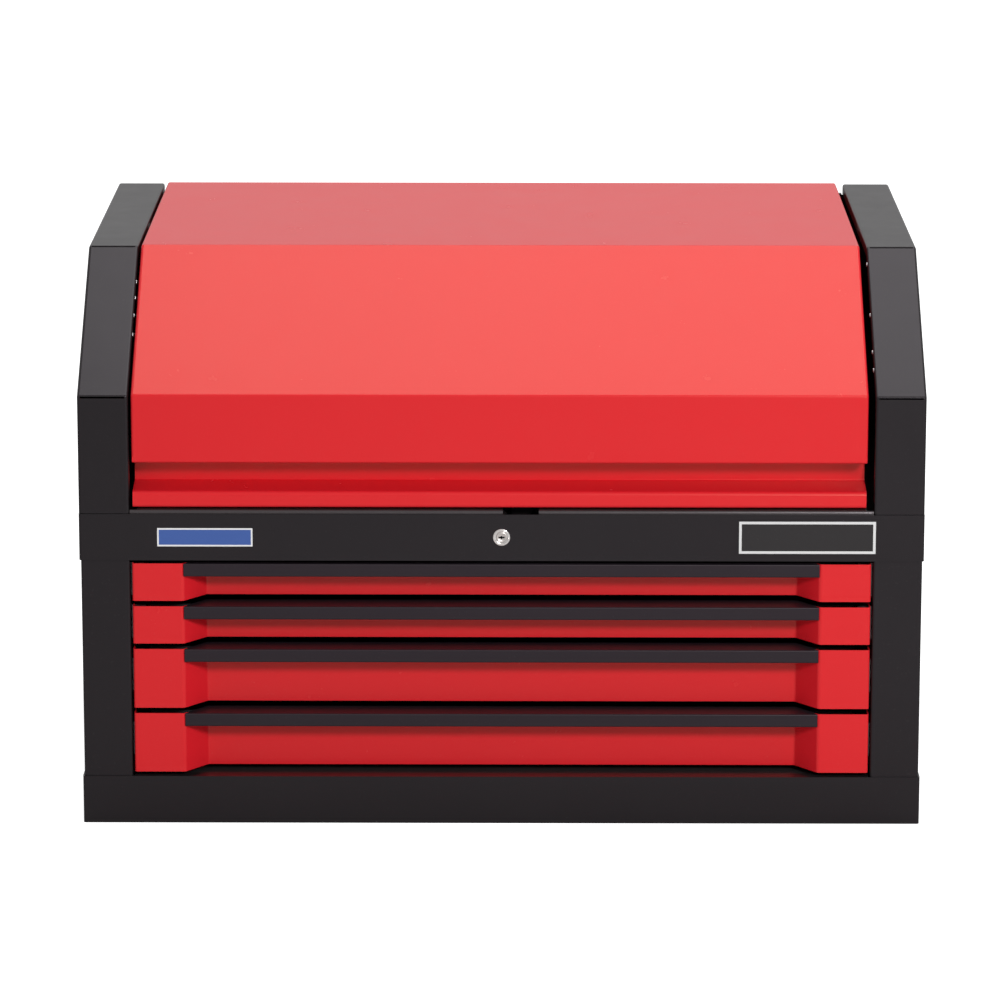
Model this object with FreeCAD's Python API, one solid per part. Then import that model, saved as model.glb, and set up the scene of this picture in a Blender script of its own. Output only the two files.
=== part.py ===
import FreeCAD, Part
import math
import os

# Steel top chest with a lift-up lid over a till and four drawers, in millimetres.
# The origin is on the ground under the middle, +Z is up and the front faces -Y.
# Places in depth are written as distances behind the front of the header band.

# Sheet metal
SHEET = 1.0
BAND_SHEET = 1.2
BEND_RADIUS = 1.0
CREASE_RADIUS = 2.2

# Overall size
WIDTH = 673.0
CASE_DEPTH = 457.0

# Heights of the front, from the ground up
BASE_HEIGHT = 38.8
BASE_GAP = 3.5
DEEP_FRONT_HEIGHT = 48.5
SHALLOW_FRONT_HEIGHT = 30.6
FRONT_GAP = 4.6
HEADER_GAP = 2.9
HEADER_HEIGHT = 37.7
RAIL_RISE = 4.1
LID_REST_GAP = 1.3
LIP_HEIGHT = 13.0
GRIP_HEIGHT = 23.1
LID_FACE_HEIGHT = 55.0
SLOPE_HEIGHT = 96.7
SLOPE_DEPTH = 138.2

# Case
COLUMN_WIDTH = 39.0
COLUMN_RETURN = 16.8
REAR_FLANGE = 16.0
BASE_FLANGE = 14.0
BASE_TOP_RETURN = 10.0
FLOOR_FLANGE = 15.0
FLOOR_CORNER_RADIUS = 1.5
TILL_FLANGE = 12.0
NOTCH_GAP = 1.2
LAP_HEIGHT = 12.0
PANEL_SEAM = 0.6
BACK_DROP = 8.0
BACK_HEM = 8.0
BACK_HEM_END_GAP = 1.0
RAIL_TOP_DEPTH = 31.8
RAIL_SKIRT = 10.0
RAIL_FOOT = 20.8
RAIL_END_GAP = 0.5
RAIL_TOP_SETBACK = 6.0
RAIL_NOSE_RADIUS = 2.4
RAIL_GROOVE_HEIGHT = 1.4
RAIL_GROOVE_DEPTH = 0.6

# Hood sides and lid
HOOD_SETBACK = 0.2
HOOD_DROP = 0.8
HOOD_FLANGE_WIDTH = 40.3
HOOD_RETURN = 8.0
HOOD_SEAM = 1.3
HOOD_SEAM_DROP = 1.2
HOOD_SEAM_INSET = 2.4
LID_SIDE_GAP = 4.0
LID_SIDE_SHIFT = -1.7
LID_FLANGE = 16.0
LID_FLANGE_REAR_CUT = 12.0
GRIP_DEPTH = 29.0
GRIP_ROOF_RISE = 2.2
LEDGE_FALL = 3.6
LIP_TOP_RADIUS = 2.5
LIP_BOTTOM_RADIUS = 2.0
HEM_DEPTH = 23.8
HEM_HEIGHT = 13.0
GRIP_SIDE_INSET = 0.5
LID_ANGLE_OPEN = 75.0

# Hinge
HINGE_END_GAP = 12.0
KNUCKLE_COUNT = 14
KNUCKLE_GAP = 0.4
HINGE_LEAF = 1.2
HINGE_PIN_RADIUS = 1.6
KNUCKLE_TOP_GAP = 0.3
CASE_LEAF_HEIGHT = 26.0
LID_LEAF_DEPTH = 26.0
PIN_HEAD_RADIUS = 2.4
PIN_HEAD_LENGTH = 1.2

# Fits
RUNNING_CLEARANCE = 0.05
SEAT_CLEARANCE = 0.3

# Rivets
RIVET_RADIUS = 1.6
RIVET_HEAD_RADIUS = 3.0
RIVET_HEAD_HEIGHT = 1.0
RIVET_DOME_SHARE = 0.7
HINGE_RIVETS = 8
HINGE_RIVET_DROP = 12.0
HOOD_RIVET_RADIUS = 1.1
HOOD_RIVET_HEAD_RADIUS = 1.9
HOOD_RIVET_HEAD_HEIGHT = 0.8
LEFT_HOOD_RIVET_PLACES = (0.42, 0.55, 0.67, 0.78)
RIGHT_HOOD_RIVET_PLACES = (0.19, 0.31, 0.56, 0.91)

# Drawers
FRONT_SIDE_GAP = 1.7
FRONT_RETURN = 16.0
FRONT_EDGE_RETURN = 11.0
RECESS_DEPTH = 23.0
RECESS_END_RUN = 17.5
RECESS_BEND_RADIUS = 3.0
END_PANEL_WIDTH = 40.6
PULL_END_GAP = 0.5
PULL_HEIGHT = 10.6
PULL_THICKNESS = 2.4
PULL_TOP_SHEET = 1.0
PULL_SETBACK = 0.5
PULL_HOOK_DEPTH = 6.0
PULL_HOOK_THICKNESS = 1.4
PULL_CURL = 3.0
PULL_CURL_ROUNDING = 0.45
PULL_ROUNDING = 1.0
FRONT_FOOT_DEPTH = 12.0
BOX_REAR_GAP = 26.0
BOX_TOP_DROP = 4.0
BOX_CORNER_RADIUS = 2.0
BOX_HEM_HEIGHT = 5.0
BOX_HEM_THICKNESS = 1.0

# Drawer slides
SLIDE_SPACE = 12.7
SLIDE_SHEET = 1.2
RAIL_HEIGHT = 27.0
RAIL_START = 20.0
RAIL_REAR_GAP = 26.0
SLIDE_OVERLAP = 110.0
RAIL_FLANGE = 9.6
RUNNER_FLANGE = 6.7
RUNNER_INSET = 1.0
BALL_RADIUS = 1.95
BALLS_IN_A_ROW = 4
BALL_SPACING = 28.0
CAGE_LENGTH = 104.0
CAGE_FRONT_GAP = 2.0
CAGE_SHEET = 0.6
CAGE_WEB_GAP = 1.8
CAGE_BALL_CLEARANCE = 0.1
CAGE_OVERHANG = 3.0

# Slide posts
POST_WIDTH = 34.0
POST_FOOT = 10.0
FRONT_POST_START = 30.0
REAR_POST_GAP = 22.0

# Lock and lid hook
LOCK_FLANGE_RADIUS = 7.0
LOCK_FLANGE_PROUD = 1.5
LOCK_BARREL_RADIUS = 5.6
LOCK_BARREL_LENGTH = 17.0
LOCK_HOLE_CLEARANCE = 0.15
LOCK_FLANGE_ROUNDING = 0.7
LOCK_RISE_IN_HEADER = 19.4
LOCK_NUT_ACROSS_FLATS = 16.0
LOCK_NUT_THICKNESS = 3.0
LOCK_NUT_SIDES = 6
PLUG_RADIUS = 4.3
PLUG_RECESS = 0.4
KEYWAY_WIDTH = 5.0
KEYWAY_HEIGHT = 1.3
KEYWAY_DEPTH = 9.0
TAIL_WIDTH = 4.0
CAM_START_GAP = 1.5
CAM_THICKNESS = 2.0
CAM_HUB_RADIUS = 6.0
CAM_LENGTH = 17.5
CAM_WIDTH = 9.0
CAM_SCREW_RADIUS = 1.25
CAM_SCREW_LENGTH = 8.0
CAM_SCREW_HEAD_RADIUS = 3.4
CAM_SCREW_HEAD_HEIGHT = 1.6
SLOT_LEFT = 1.0
SLOT_WIDTH = 28.6
SLOT_END = 30.0
HOOK_PLATE = 1.2
HOOK_WIDTH = 16.0
HOOK_LEFT = 8.0
HOOK_FOOT_LENGTH = 7.7
HOOK_CAM_GAP = 1.5
HOOK_TOP_MARGIN = 0.6
HOOK_RIVET_SPACING = 9.0
HOOK_RIVET_DROP = 5.0

# Lid bumpers
BUMPER_SIDE_GAP = 6.0
BUMPER_DEPTH = 19.0
BUMPER_RADIUS = 3.5
BUMPER_ROUNDING = 0.5

# Gas struts
STRUT_SIDE_GAP = 13.0
STRUT_ARM = 179.9
LID_PIVOT_DROP = 10.0
CASE_PIVOT_BACK_GAP = 26.0
EYE_RADIUS = 6.5
EYE_WIDTH = 8.0
STUD_RADIUS = 3.0
STUD_HEAD_RADIUS = 4.8
STUD_HEAD_LENGTH = 2.4
STUD_COLLAR_RADIUS = 4.8
STUD_GAP = 0.4
NECK_RADIUS = 3.8
NECK_LENGTH = 16.0
TUBE_RADIUS = 7.5
TUBE_WALL = 1.0
TUBE_FLOOR = 3.0
TUBE_ROUNDING = 1.5
ROD_SHOWING = 23.3
GLAND_LENGTH = 8.0
ROD_RADIUS = 3.0
ROD_COLLAR_LENGTH = 14.0
PISTON_LENGTH = 10.0
PISTON_FLOOR_GAP = 3.0
BRACKET_SHEET = 2.0
BRACKET_TUBE_GAP = 1.5
BRACKET_MARGIN = 12.0
BRACKET_NOSE_RADIUS = 6.0
BRACKET_FOOT = 20.0

# Worked-out levels
DRAWER_HEIGHTS = (SHALLOW_FRONT_HEIGHT, SHALLOW_FRONT_HEIGHT, DEEP_FRONT_HEIGHT, DEEP_FRONT_HEIGHT)
DRAWER_COUNT = len(DRAWER_HEIGHTS)
FRONT_STACK = sum(DRAWER_HEIGHTS) + FRONT_GAP * (DRAWER_COUNT - 1)
HEADER_BOTTOM = BASE_HEIGHT + BASE_GAP + FRONT_STACK + HEADER_GAP
HEADER_TOP = HEADER_BOTTOM + HEADER_HEIGHT
RAIL_TOP = HEADER_TOP + RAIL_RISE
LIP_BOTTOM = RAIL_TOP + LID_REST_GAP
LIP_TOP = LIP_BOTTOM + LIP_HEIGHT
FACE_BOTTOM = LIP_TOP + GRIP_HEIGHT
FACE_TOP = FACE_BOTTOM + LID_FACE_HEIGHT
LID_TOP = FACE_TOP + SLOPE_HEIGHT
HOOD_TOP = LID_TOP - HOOD_DROP
BACK_TOP = LID_TOP - BACK_DROP
SIDE_TOP = HEADER_TOP + LAP_HEIGHT
LOCK_LEVEL = HEADER_BOTTOM + LOCK_RISE_IN_HEADER
FLOOR_TOP = BASE_HEIGHT - BAND_SHEET
TILL_FLOOR_BOTTOM = HEADER_BOTTOM + 2 * SHEET

# Worked-out places across
HALF_WIDTH = WIDTH / 2
SIDE_HALF = HALF_WIDTH - BAND_SHEET
OPENING_HALF = SIDE_HALF - COLUMN_WIDTH
HOOD_HALF = SIDE_HALF + SHEET
HOOD_INNER = HOOD_HALF - HOOD_FLANGE_WIDTH
LID_HALF = HOOD_INNER - LID_SIDE_GAP
LID_LEFT = LID_SIDE_SHIFT - LID_HALF
LID_RIGHT = LID_SIDE_SHIFT + LID_HALF
FRONT_HALF = OPENING_HALF - FRONT_SIDE_GAP
RECESS_MOUTH_HALF = FRONT_HALF - END_PANEL_WIDTH
PULL_HALF = RECESS_MOUTH_HALF - PULL_END_GAP
RECESS_FLOOR_HALF = RECESS_MOUTH_HALF - RECESS_END_RUN
BOX_HALF = OPENING_HALF - SLIDE_SPACE
HINGE_HALF = LID_HALF - HINGE_END_GAP
KNUCKLE_PITCH = 2 * HINGE_HALF / KNUCKLE_COUNT
STRUT_PLACE = LID_HALF - SHEET - STRUT_SIDE_GAP
BUMPER_PLACE = LID_HALF - BUMPER_SIDE_GAP

# Worked-out places in depth
COLUMN_FACE = BAND_SHEET
SLOPE_END = HOOD_SETBACK + SLOPE_DEPTH
BACK_INNER = CASE_DEPTH - SHEET
KNUCKLE_RADIUS = HINGE_PIN_RADIUS + HINGE_LEAF
HINGE_DEPTH = CASE_DEPTH + HINGE_LEAF - KNUCKLE_RADIUS
HINGE_LEVEL = LID_TOP - SHEET - KNUCKLE_TOP_GAP - KNUCKLE_RADIUS
RECESS_WALL = COLUMN_FACE + RECESS_DEPTH
BOX_FRONT = RECESS_WALL + SHEET
PULL_SEAT_START = COLUMN_FACE + SHEET + RECESS_BEND_RADIUS
BOX_REAR = BACK_INNER - BOX_REAR_GAP
RAIL_END = BACK_INNER - RAIL_REAR_GAP
DRAWER_TRAVEL = RAIL_END - RAIL_START - SLIDE_OVERLAP
CAGE_START = RAIL_START + DRAWER_TRAVEL / 2 + CAGE_FRONT_GAP
REAR_POST_START = BACK_INNER - REAR_POST_GAP - POST_FOOT - POST_WIDTH
REARMOST = CASE_DEPTH + HINGE_LEAF + RIVET_HEAD_HEIGHT
FRONT_Y = LOCK_FLANGE_PROUD - (REARMOST + LOCK_FLANGE_PROUD) / 2

# Both pivots of a strut are one arm away from the hinge, so the strut always
# turns half as far as the lid does.
LID_PIVOT_LEVEL = LID_TOP - LID_PIVOT_DROP
LID_PIVOT_DEPTH = HINGE_DEPTH - math.sqrt(STRUT_ARM ** 2 - (HINGE_LEVEL - LID_PIVOT_LEVEL) ** 2)
LID_PIVOT = (LID_PIVOT_DEPTH, LID_PIVOT_LEVEL)
CASE_PIVOT_DEPTH = BACK_INNER - CASE_PIVOT_BACK_GAP
CASE_PIVOT_LEVEL = HINGE_LEVEL - math.sqrt(STRUT_ARM ** 2 - (HINGE_DEPTH - CASE_PIVOT_DEPTH) ** 2)
CASE_PIVOT = (CASE_PIVOT_DEPTH, CASE_PIVOT_LEVEL)
STRUT_LENGTH = math.dist(LID_PIVOT, CASE_PIVOT)

# Margin by which a cutting tool passes through what it cuts
CUT = 5.0


def point(x, depth, z):
    """A point from its place across, its depth behind the front and its height."""
    return FreeCAD.Vector(x, FRONT_Y + depth, z)


def block(x0, x1, depth0, depth1, z0, z1):
    """A box between two corners."""
    return Part.makeBox(x1 - x0, depth1 - depth0, z1 - z0, point(x0, depth0, z0))


def round_along_x(radius, x0, x1, depth, z):
    """A cylinder along X."""
    return Part.makeCylinder(radius, x1 - x0, point(x0, depth, z), FreeCAD.Vector(1, 0, 0))


def round_along_depth(radius, depth0, depth1, x, z):
    """A cylinder from front to back."""
    return Part.makeCylinder(radius, depth1 - depth0, point(x, depth0, z), FreeCAD.Vector(0, 1, 0))


def mirrored(shape):
    """The left-hand twin of a right-hand piece."""
    return shape.mirror(FreeCAD.Vector(0, 0, 0), FreeCAD.Vector(1, 0, 0))


def pair(shape):
    """A right-hand piece and its left-hand twin as separate solids."""
    return Part.makeCompound([shape, mirrored(shape)])


def joined(shapes):
    """One solid from overlapping or touching shapes."""
    return shapes[0].fuse(shapes[1:]).removeSplitter()


def direction(start, end):
    """Unit vector from one flat point to another."""
    length = math.dist(start, end)
    return ((end[0] - start[0]) / length, (end[1] - start[1]) / length)


def offset_path(points, distance):
    """An open path moved to its left by a distance."""
    moved = []
    for index, (a, b) in enumerate(points):
        before = direction(points[index - 1], points[index]) if index > 0 else None
        after = direction(points[index], points[index + 1]) if index < len(points) - 1 else None
        before = before or after
        after = after or before
        share = distance / (1 + before[0] * after[0] + before[1] * after[1])
        moved.append((a - share * (before[1] + after[1]), b + share * (before[0] + after[0])))
    return moved


def rounded_edges(points, radii, place):
    """Edges along a path whose corners are tangent arcs."""
    edges = []
    start = points[0]
    for index in range(1, len(points) - 1):
        corner = points[index]
        into = direction(points[index - 1], corner)
        out = direction(corner, points[index + 1])
        turn = math.atan2(into[0] * out[1] - into[1] * out[0], into[0] * out[0] + into[1] * out[1])
        tangent = radii[index] * math.tan(abs(turn) / 2)
        arc_start = (corner[0] - into[0] * tangent, corner[1] - into[1] * tangent)
        arc_end = (corner[0] + out[0] * tangent, corner[1] + out[1] * tangent)
        to_centre = direction(corner, ((arc_start[0] + arc_end[0]) / 2, (arc_start[1] + arc_end[1]) / 2))
        reach = radii[index] / math.cos(turn / 2) - radii[index]
        arc_middle = (corner[0] + to_centre[0] * reach, corner[1] + to_centre[1] * reach)
        edges.append(Part.LineSegment(place(*start), place(*arc_start)).toShape())
        edges.append(Part.Arc(place(*arc_start), place(*arc_middle), place(*arc_end)).toShape())
        start = arc_end
    edges.append(Part.LineSegment(place(*start), place(*points[-1])).toShape())
    return edges


def folded_face(skin, thickness, place, bends=None):
    """Section of a folded sheet to the left of its skin path; bends gives some corners their own inner radius."""
    inner = offset_path(skin, thickness)
    skin_radii = [0.0]
    inner_radii = [0.0]
    for index in range(1, len(skin) - 1):
        into = direction(skin[index - 1], skin[index])
        out = direction(skin[index], skin[index + 1])
        turns_left = into[0] * out[1] - into[1] * out[0] > 0
        bend = (bends or {}).get(index, BEND_RADIUS)
        skin_radii.append(bend + (thickness if turns_left else 0.0))
        inner_radii.append(bend + (0.0 if turns_left else thickness))
    skin_radii.append(0.0)
    inner_radii.append(0.0)
    inner.reverse()
    inner_radii.reverse()
    edges = rounded_edges(skin, skin_radii, place)
    edges.append(Part.LineSegment(place(*skin[-1]), place(*inner[0])).toShape())
    edges.extend(rounded_edges(inner, inner_radii, place))
    edges.append(Part.LineSegment(place(*inner[-1]), place(*skin[0])).toShape())
    return Part.Face(Part.Wire(edges))


def upright_sheet(skin, thickness, z0, z1, bends=None):
    """A sheet folded in plan, from one height to another; skin points are (x, depth)."""
    face = folded_face(skin, thickness, lambda x, depth: point(x, depth, z0), bends)
    return face.extrude(FreeCAD.Vector(0, 0, z1 - z0))


def cross_sheet(skin, thickness, x0, x1, bends=None):
    """A sheet folded in side view, from one side to the other; skin points are (depth, z)."""
    face = folded_face(skin, thickness, lambda depth, z: point(x0, depth, z), bends)
    return face.extrude(FreeCAD.Vector(x1 - x0, 0, 0))


def side_prism(outline, x0, x1):
    """A solid with a flat side-view outline of (depth, z) points."""
    corners = [point(x0, depth, z) for depth, z in outline]
    face = Part.Face(Part.makePolygon(corners + corners[:1]))
    return face.extrude(FreeCAD.Vector(x1 - x0, 0, 0))


def hood_outline(drop, inset, rear, bottom):
    """Side-view outline of the hood: face, slope and top moved inwards, rear and bottom as given."""
    top = LID_TOP - drop
    crease = FACE_TOP - drop
    skin = [(HOOD_SETBACK, bottom), (HOOD_SETBACK, crease), (SLOPE_END, top), (rear, top)]
    moved = offset_path(skin, -inset) if inset else skin
    return moved + [(rear, bottom)]


def plan_prism(outline, z0, z1):
    """A solid with a flat plan outline of (x, depth) points."""
    corners = [point(x, depth, z0) for x, depth in outline]
    face = Part.Face(Part.makePolygon(corners + corners[:1]))
    return face.extrude(FreeCAD.Vector(0, 0, z1 - z0))


def rounded_hood(drop, inset, rear, bottom, x0, x1, radius):
    """The hood's solid, with its face, slope and top edges rounded."""
    outline = hood_outline(drop, inset, rear, bottom)
    solid = side_prism(outline, x0, x1)
    rounded = []
    for edge in solid.Edges:
        start, end = edge.Vertexes[0].Point, edge.Vertexes[-1].Point
        along_x = abs(start.x - end.x) > SHEET
        middle = (start + end) / 2
        at_crease = any((middle - point(middle.x, *crease)).Length < SHEET for crease in outline[1:3])
        at_rear = middle.y > FRONT_Y + rear - SHEET
        at_bottom = middle.z < bottom + SHEET
        if (along_x and at_crease) or not (along_x or at_rear or at_bottom):
            rounded.append(edge)
    return solid.makeFillet(radius, rounded)


def hood_seam(corner, before, after, x0, x1):
    """Cutter for the thin seam just under a crease of the hood side."""
    into = direction(before, corner)
    out = direction(corner, after)
    along = direction((0, 0), (into[0] + out[0], into[1] + out[1]))
    across = (-along[1], along[0])
    middle = (corner[0] - into[0] * HOOD_SEAM_DROP, corner[1] - into[1] * HOOD_SEAM_DROP)
    outline = []
    for side, reach in ((-1, -1), (1, -1), (1, 1), (-1, 1)):
        shift = side * HOOD_SEAM / 2
        outline.append((middle[0] + along[0] * shift + across[0] * reach * CUT,
                        middle[1] + along[1] * shift + across[1] * reach * CUT))
    return side_prism(outline, x0, x1)


def rivet_along_depth(radius, head_radius, head_height, depth0, depth1, x, z, head_in_front):
    """A rivet through sheets from depth0 to depth1 with a round head and a flat tail."""
    shank = round_along_depth(radius, depth0, depth1, x, z)
    front = round_along_depth(head_radius, depth0 - head_height, depth0, x, z)
    rear = round_along_depth(head_radius, depth1, depth1 + head_height, x, z)
    head = front if head_in_front else rear
    outer = min(head.Edges, key=lambda edge: edge.CenterOfMass.y * (1 if head_in_front else -1))
    domed = head.makeFillet(head_height * RIVET_DOME_SHARE, [outer])
    return joined([shank, domed, rear if head_in_front else front])


def build_side_panel():
    """Right side wall with its front column and rear flange."""
    skin = [
        (OPENING_HALF, COLUMN_FACE + COLUMN_RETURN),
        (OPENING_HALF, COLUMN_FACE),
        (SIDE_HALF, COLUMN_FACE),
        (SIDE_HALF, BACK_INNER),
        (SIDE_HALF - REAR_FLANGE, BACK_INNER),
    ]
    return upright_sheet(skin, SHEET, BAND_SHEET, SIDE_TOP)


def build_back_panel(rivet_places):
    """Back wall with a flange underneath and a hem along its top, drilled for the hinge."""
    skin = [
        (CASE_DEPTH - BASE_FLANGE, 0),
        (CASE_DEPTH, 0),
        (CASE_DEPTH, BACK_TOP),
        (CASE_DEPTH - SHEET - BACK_HEM, BACK_TOP),
    ]
    hem_half = HOOD_INNER - BACK_HEM_END_GAP
    middle = cross_sheet(skin, SHEET, -hem_half, hem_half)
    low = BAND_SHEET + BEND_RADIUS
    high = BACK_TOP - SHEET - BEND_RADIUS
    wall = block(-SIDE_HALF, SIDE_HALF, BACK_INNER, CASE_DEPTH, low, high)
    holes = [round_along_depth(RIVET_RADIUS, BACK_INNER - CUT, CASE_DEPTH + CUT, x, z) for x, z in rivet_places]
    return joined([middle, wall]).cut(holes)


def notched_floor(bottom, flange_low, flange_high, rear_flange):
    """A floor sheet between the sides, notched round the columns, with flanges at its sides."""
    half = SIDE_HALF - SHEET
    front = COLUMN_FACE + SHEET + BEND_RADIUS
    rear = BACK_INNER - SHEET
    column_end = COLUMN_FACE + COLUMN_RETURN + NOTCH_GAP
    sheet = block(-half, half, front, rear, bottom, bottom + SHEET)
    notch = block(OPENING_HALF - NOTCH_GAP, half + CUT, front - CUT, column_end, bottom - CUT, bottom + CUT)
    flange = block(half - SHEET, half, column_end, rear, flange_low, flange_high)
    parts = [sheet.cut([notch, mirrored(notch)]), flange, mirrored(flange)]
    if rear_flange:
        parts.append(block(-half, half, rear - SHEET, rear, flange_low, flange_high))
    low, high = flange_low - CUT, flange_high + CUT
    turn = FLOOR_CORNER_RADIUS
    corner = block(half - turn, half + CUT, rear - turn, rear + CUT, low, high)
    corner = corner.cut(Part.makeCylinder(turn, high - low, point(half - turn, rear - turn, low)))
    return joined(parts).cut([corner, mirrored(corner)])


def build_base_band():
    """Plinth that wraps the front and both sides, with a flange to stand on."""
    skin = [
        (-HALF_WIDTH, CASE_DEPTH),
        (-HALF_WIDTH, 0),
        (HALF_WIDTH, 0),
        (HALF_WIDTH, CASE_DEPTH),
    ]
    wrap = upright_sheet(skin, BAND_SHEET, 0, BASE_HEIGHT)
    front_flange = block(-SIDE_HALF, SIDE_HALF, BAND_SHEET, BAND_SHEET + BASE_FLANGE, 0, BAND_SHEET)
    flange_rear = CASE_DEPTH - 2 * BASE_FLANGE
    side_flange = block(SIDE_HALF - BASE_FLANGE, SIDE_HALF, BAND_SHEET, flange_rear, 0, BAND_SHEET)
    top_half = OPENING_HALF - NOTCH_GAP
    top_return = block(-top_half, top_half, BAND_SHEET, BAND_SHEET + BASE_TOP_RETURN, FLOOR_TOP, BASE_HEIGHT)
    return joined([wrap, front_flange, side_flange, mirrored(side_flange), top_return])


def build_header_band():
    """Band over the drawers that wraps the front and both sides and carries the lock."""
    skin = [
        (-HALF_WIDTH, CASE_DEPTH),
        (-HALF_WIDTH, 0),
        (HALF_WIDTH, 0),
        (HALF_WIDTH, CASE_DEPTH),
    ]
    wrap = upright_sheet(skin, BAND_SHEET, HEADER_BOTTOM, HEADER_TOP)
    return wrap.cut(lock_hole())


def lock_hole():
    """Cutter for the hole that the lock passes through."""
    radius = LOCK_BARREL_RADIUS + LOCK_HOLE_CLEARANCE
    return round_along_depth(radius, -CUT, COLUMN_FACE + SHEET + CUT, 0, LOCK_LEVEL)


def build_header_rail():
    """Channel behind the header band: till front with a pressed line, shelf and latch slot."""
    skin = [
        (COLUMN_FACE + RAIL_TOP_DEPTH, RAIL_TOP - RAIL_SKIRT),
        (COLUMN_FACE + RAIL_TOP_DEPTH, RAIL_TOP),
        (COLUMN_FACE, RAIL_TOP),
        (COLUMN_FACE, HEADER_BOTTOM + SHEET),
        (COLUMN_FACE + RAIL_FOOT, HEADER_BOTTOM + SHEET),
    ]
    half = OPENING_HALF - RAIL_END_GAP
    nose = skin.index((COLUMN_FACE, RAIL_TOP))
    rail = cross_sheet(skin, SHEET, -half, half, {nose: RAIL_NOSE_RADIUS})
    slot = block(SLOT_LEFT, SLOT_LEFT + SLOT_WIDTH, COLUMN_FACE - CUT, SLOT_END, HEADER_TOP, RAIL_TOP + CUT)
    corner_inner = OPENING_HALF - RAIL_TOP_SETBACK
    corner = block(corner_inner, half + CUT, COLUMN_FACE + SHEET, COLUMN_FACE + RAIL_TOP_DEPTH + CUT,
                   RAIL_TOP - RAIL_SKIRT - CUT, RAIL_TOP + CUT)
    groove = block(-half - CUT, half + CUT, COLUMN_FACE - CUT, COLUMN_FACE + RAIL_GROOVE_DEPTH,
                   HEADER_TOP, HEADER_TOP + RAIL_GROOVE_HEIGHT)
    return rail.cut([slot, corner, mirrored(corner), groove, lock_hole()])


def hood_rivet_places(shares):
    """Where rivets sit along the return of the hood's slope, from their shares of its length."""
    outline = hood_outline(HOOD_DROP, HOOD_RETURN / 2 + SHEET / 2, BACK_INNER, HEADER_TOP + PANEL_SEAM)
    low, high = outline[1:3]
    return [(low[0] + (high[0] - low[0]) * share, low[1] + (high[1] - low[1]) * share)
            for share in shares]


def build_hood_side(rivet_places):
    """Right side of the hood: a wall with face, slope and top flanges and a folded return."""
    bottom = HEADER_TOP + PANEL_SEAM
    outer = rounded_hood(HOOD_DROP, 0, BACK_INNER, bottom, HOOD_INNER, HOOD_HALF, CREASE_RADIUS)
    inner = rounded_hood(HOOD_DROP, SHEET, BACK_INNER - SHEET, bottom - CUT, HOOD_INNER + SHEET,
                         HOOD_HALF - SHEET, CREASE_RADIUS - SHEET)
    mouth = side_prism(hood_outline(HOOD_DROP, HOOD_RETURN, BACK_INNER + CUT, bottom - CUT),
                       HOOD_INNER - CUT, HOOD_INNER + 2 * SHEET)
    clear_of_column = block(HOOD_INNER - CUT, HOOD_HALF - SHEET, HOOD_SETBACK + SHEET, HOOD_RETURN + CUT,
                            bottom - CUT, SIDE_TOP + NOTCH_GAP)
    open_rear = block(HOOD_INNER - CUT, HOOD_HALF - REAR_FLANGE, BACK_INNER - 2 * SHEET, BACK_INNER + CUT,
                      bottom - CUT, HOOD_TOP - SHEET)
    clear_of_flange = block(HOOD_INNER - CUT, HOOD_HALF - SHEET, BACK_INNER - 2 * SHEET, BACK_INNER + CUT,
                            bottom - CUT, SIDE_TOP + NOTCH_GAP)
    outline = hood_outline(HOOD_DROP, 0, BACK_INNER, bottom)
    seam_start = HOOD_INNER + HOOD_SEAM_INSET
    seam_end = HOOD_HALF - HOOD_SEAM_INSET
    seams = [hood_seam(crease, before, after, seam_start, seam_end)
             for before, crease, after in zip(outline, outline[1:3], outline[2:])]
    holes = [round_along_x(HOOD_RIVET_RADIUS, HOOD_INNER - CUT, HOOD_INNER + CUT, depth, z)
             for depth, z in rivet_places]
    return outer.cut([inner, mouth, clear_of_column, open_rear, clear_of_flange] + seams + holes)


def build_hood_rivets(rivet_places):
    """Small rivets in the return of the right hood side, beside the lid."""
    rivets = []
    for depth, z in rivet_places:
        shank = round_along_x(HOOD_RIVET_RADIUS, HOOD_INNER, HOOD_INNER + SHEET, depth, z)
        head = round_along_x(HOOD_RIVET_HEAD_RADIUS, HOOD_INNER - HOOD_RIVET_HEAD_HEIGHT, HOOD_INNER, depth, z)
        rim = min(head.Edges, key=lambda edge: edge.CenterOfMass.x)
        head = head.makeFillet(HOOD_RIVET_HEAD_HEIGHT * RIVET_DOME_SHARE, [rim])
        tail = round_along_x(HOOD_RIVET_HEAD_RADIUS, HOOD_INNER + SHEET,
                             HOOD_INNER + SHEET + HOOD_RIVET_HEAD_HEIGHT, depth, z)
        rivets.append(joined([shank, head, tail]))
    return rivets


def build_post(start):
    """A slide post: a hat section that stands out from the right side wall."""
    wall = SIDE_HALF - SHEET
    web = OPENING_HALF + SHEET
    skin = [
        (wall, start - POST_FOOT),
        (wall, start),
        (web, start),
        (web, start + POST_WIDTH),
        (wall, start + POST_WIDTH),
        (wall, start + POST_WIDTH + POST_FOOT),
    ]
    return upright_sheet(skin, SHEET, FLOOR_TOP, TILL_FLOOR_BOTTOM)


def hinge_rivet_places():
    """Where the rivets of the case leaf sit on the back wall, as (x, z)."""
    pitch = 2 * HINGE_HALF / HINGE_RIVETS
    level = HINGE_LEVEL - HINGE_RIVET_DROP
    return [((index + 1 / 2) * pitch - HINGE_HALF, level) for index in range(HINGE_RIVETS)]


def knuckle_spans(first):
    """The stretches along X of every other knuckle, from knuckle 0 or 1."""
    spans = []
    for index in range(first, KNUCKLE_COUNT, 2):
        start = index * KNUCKLE_PITCH - HINGE_HALF
        spans.append((start + KNUCKLE_GAP / 2, start + KNUCKLE_PITCH - KNUCKLE_GAP / 2))
    return spans


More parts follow.
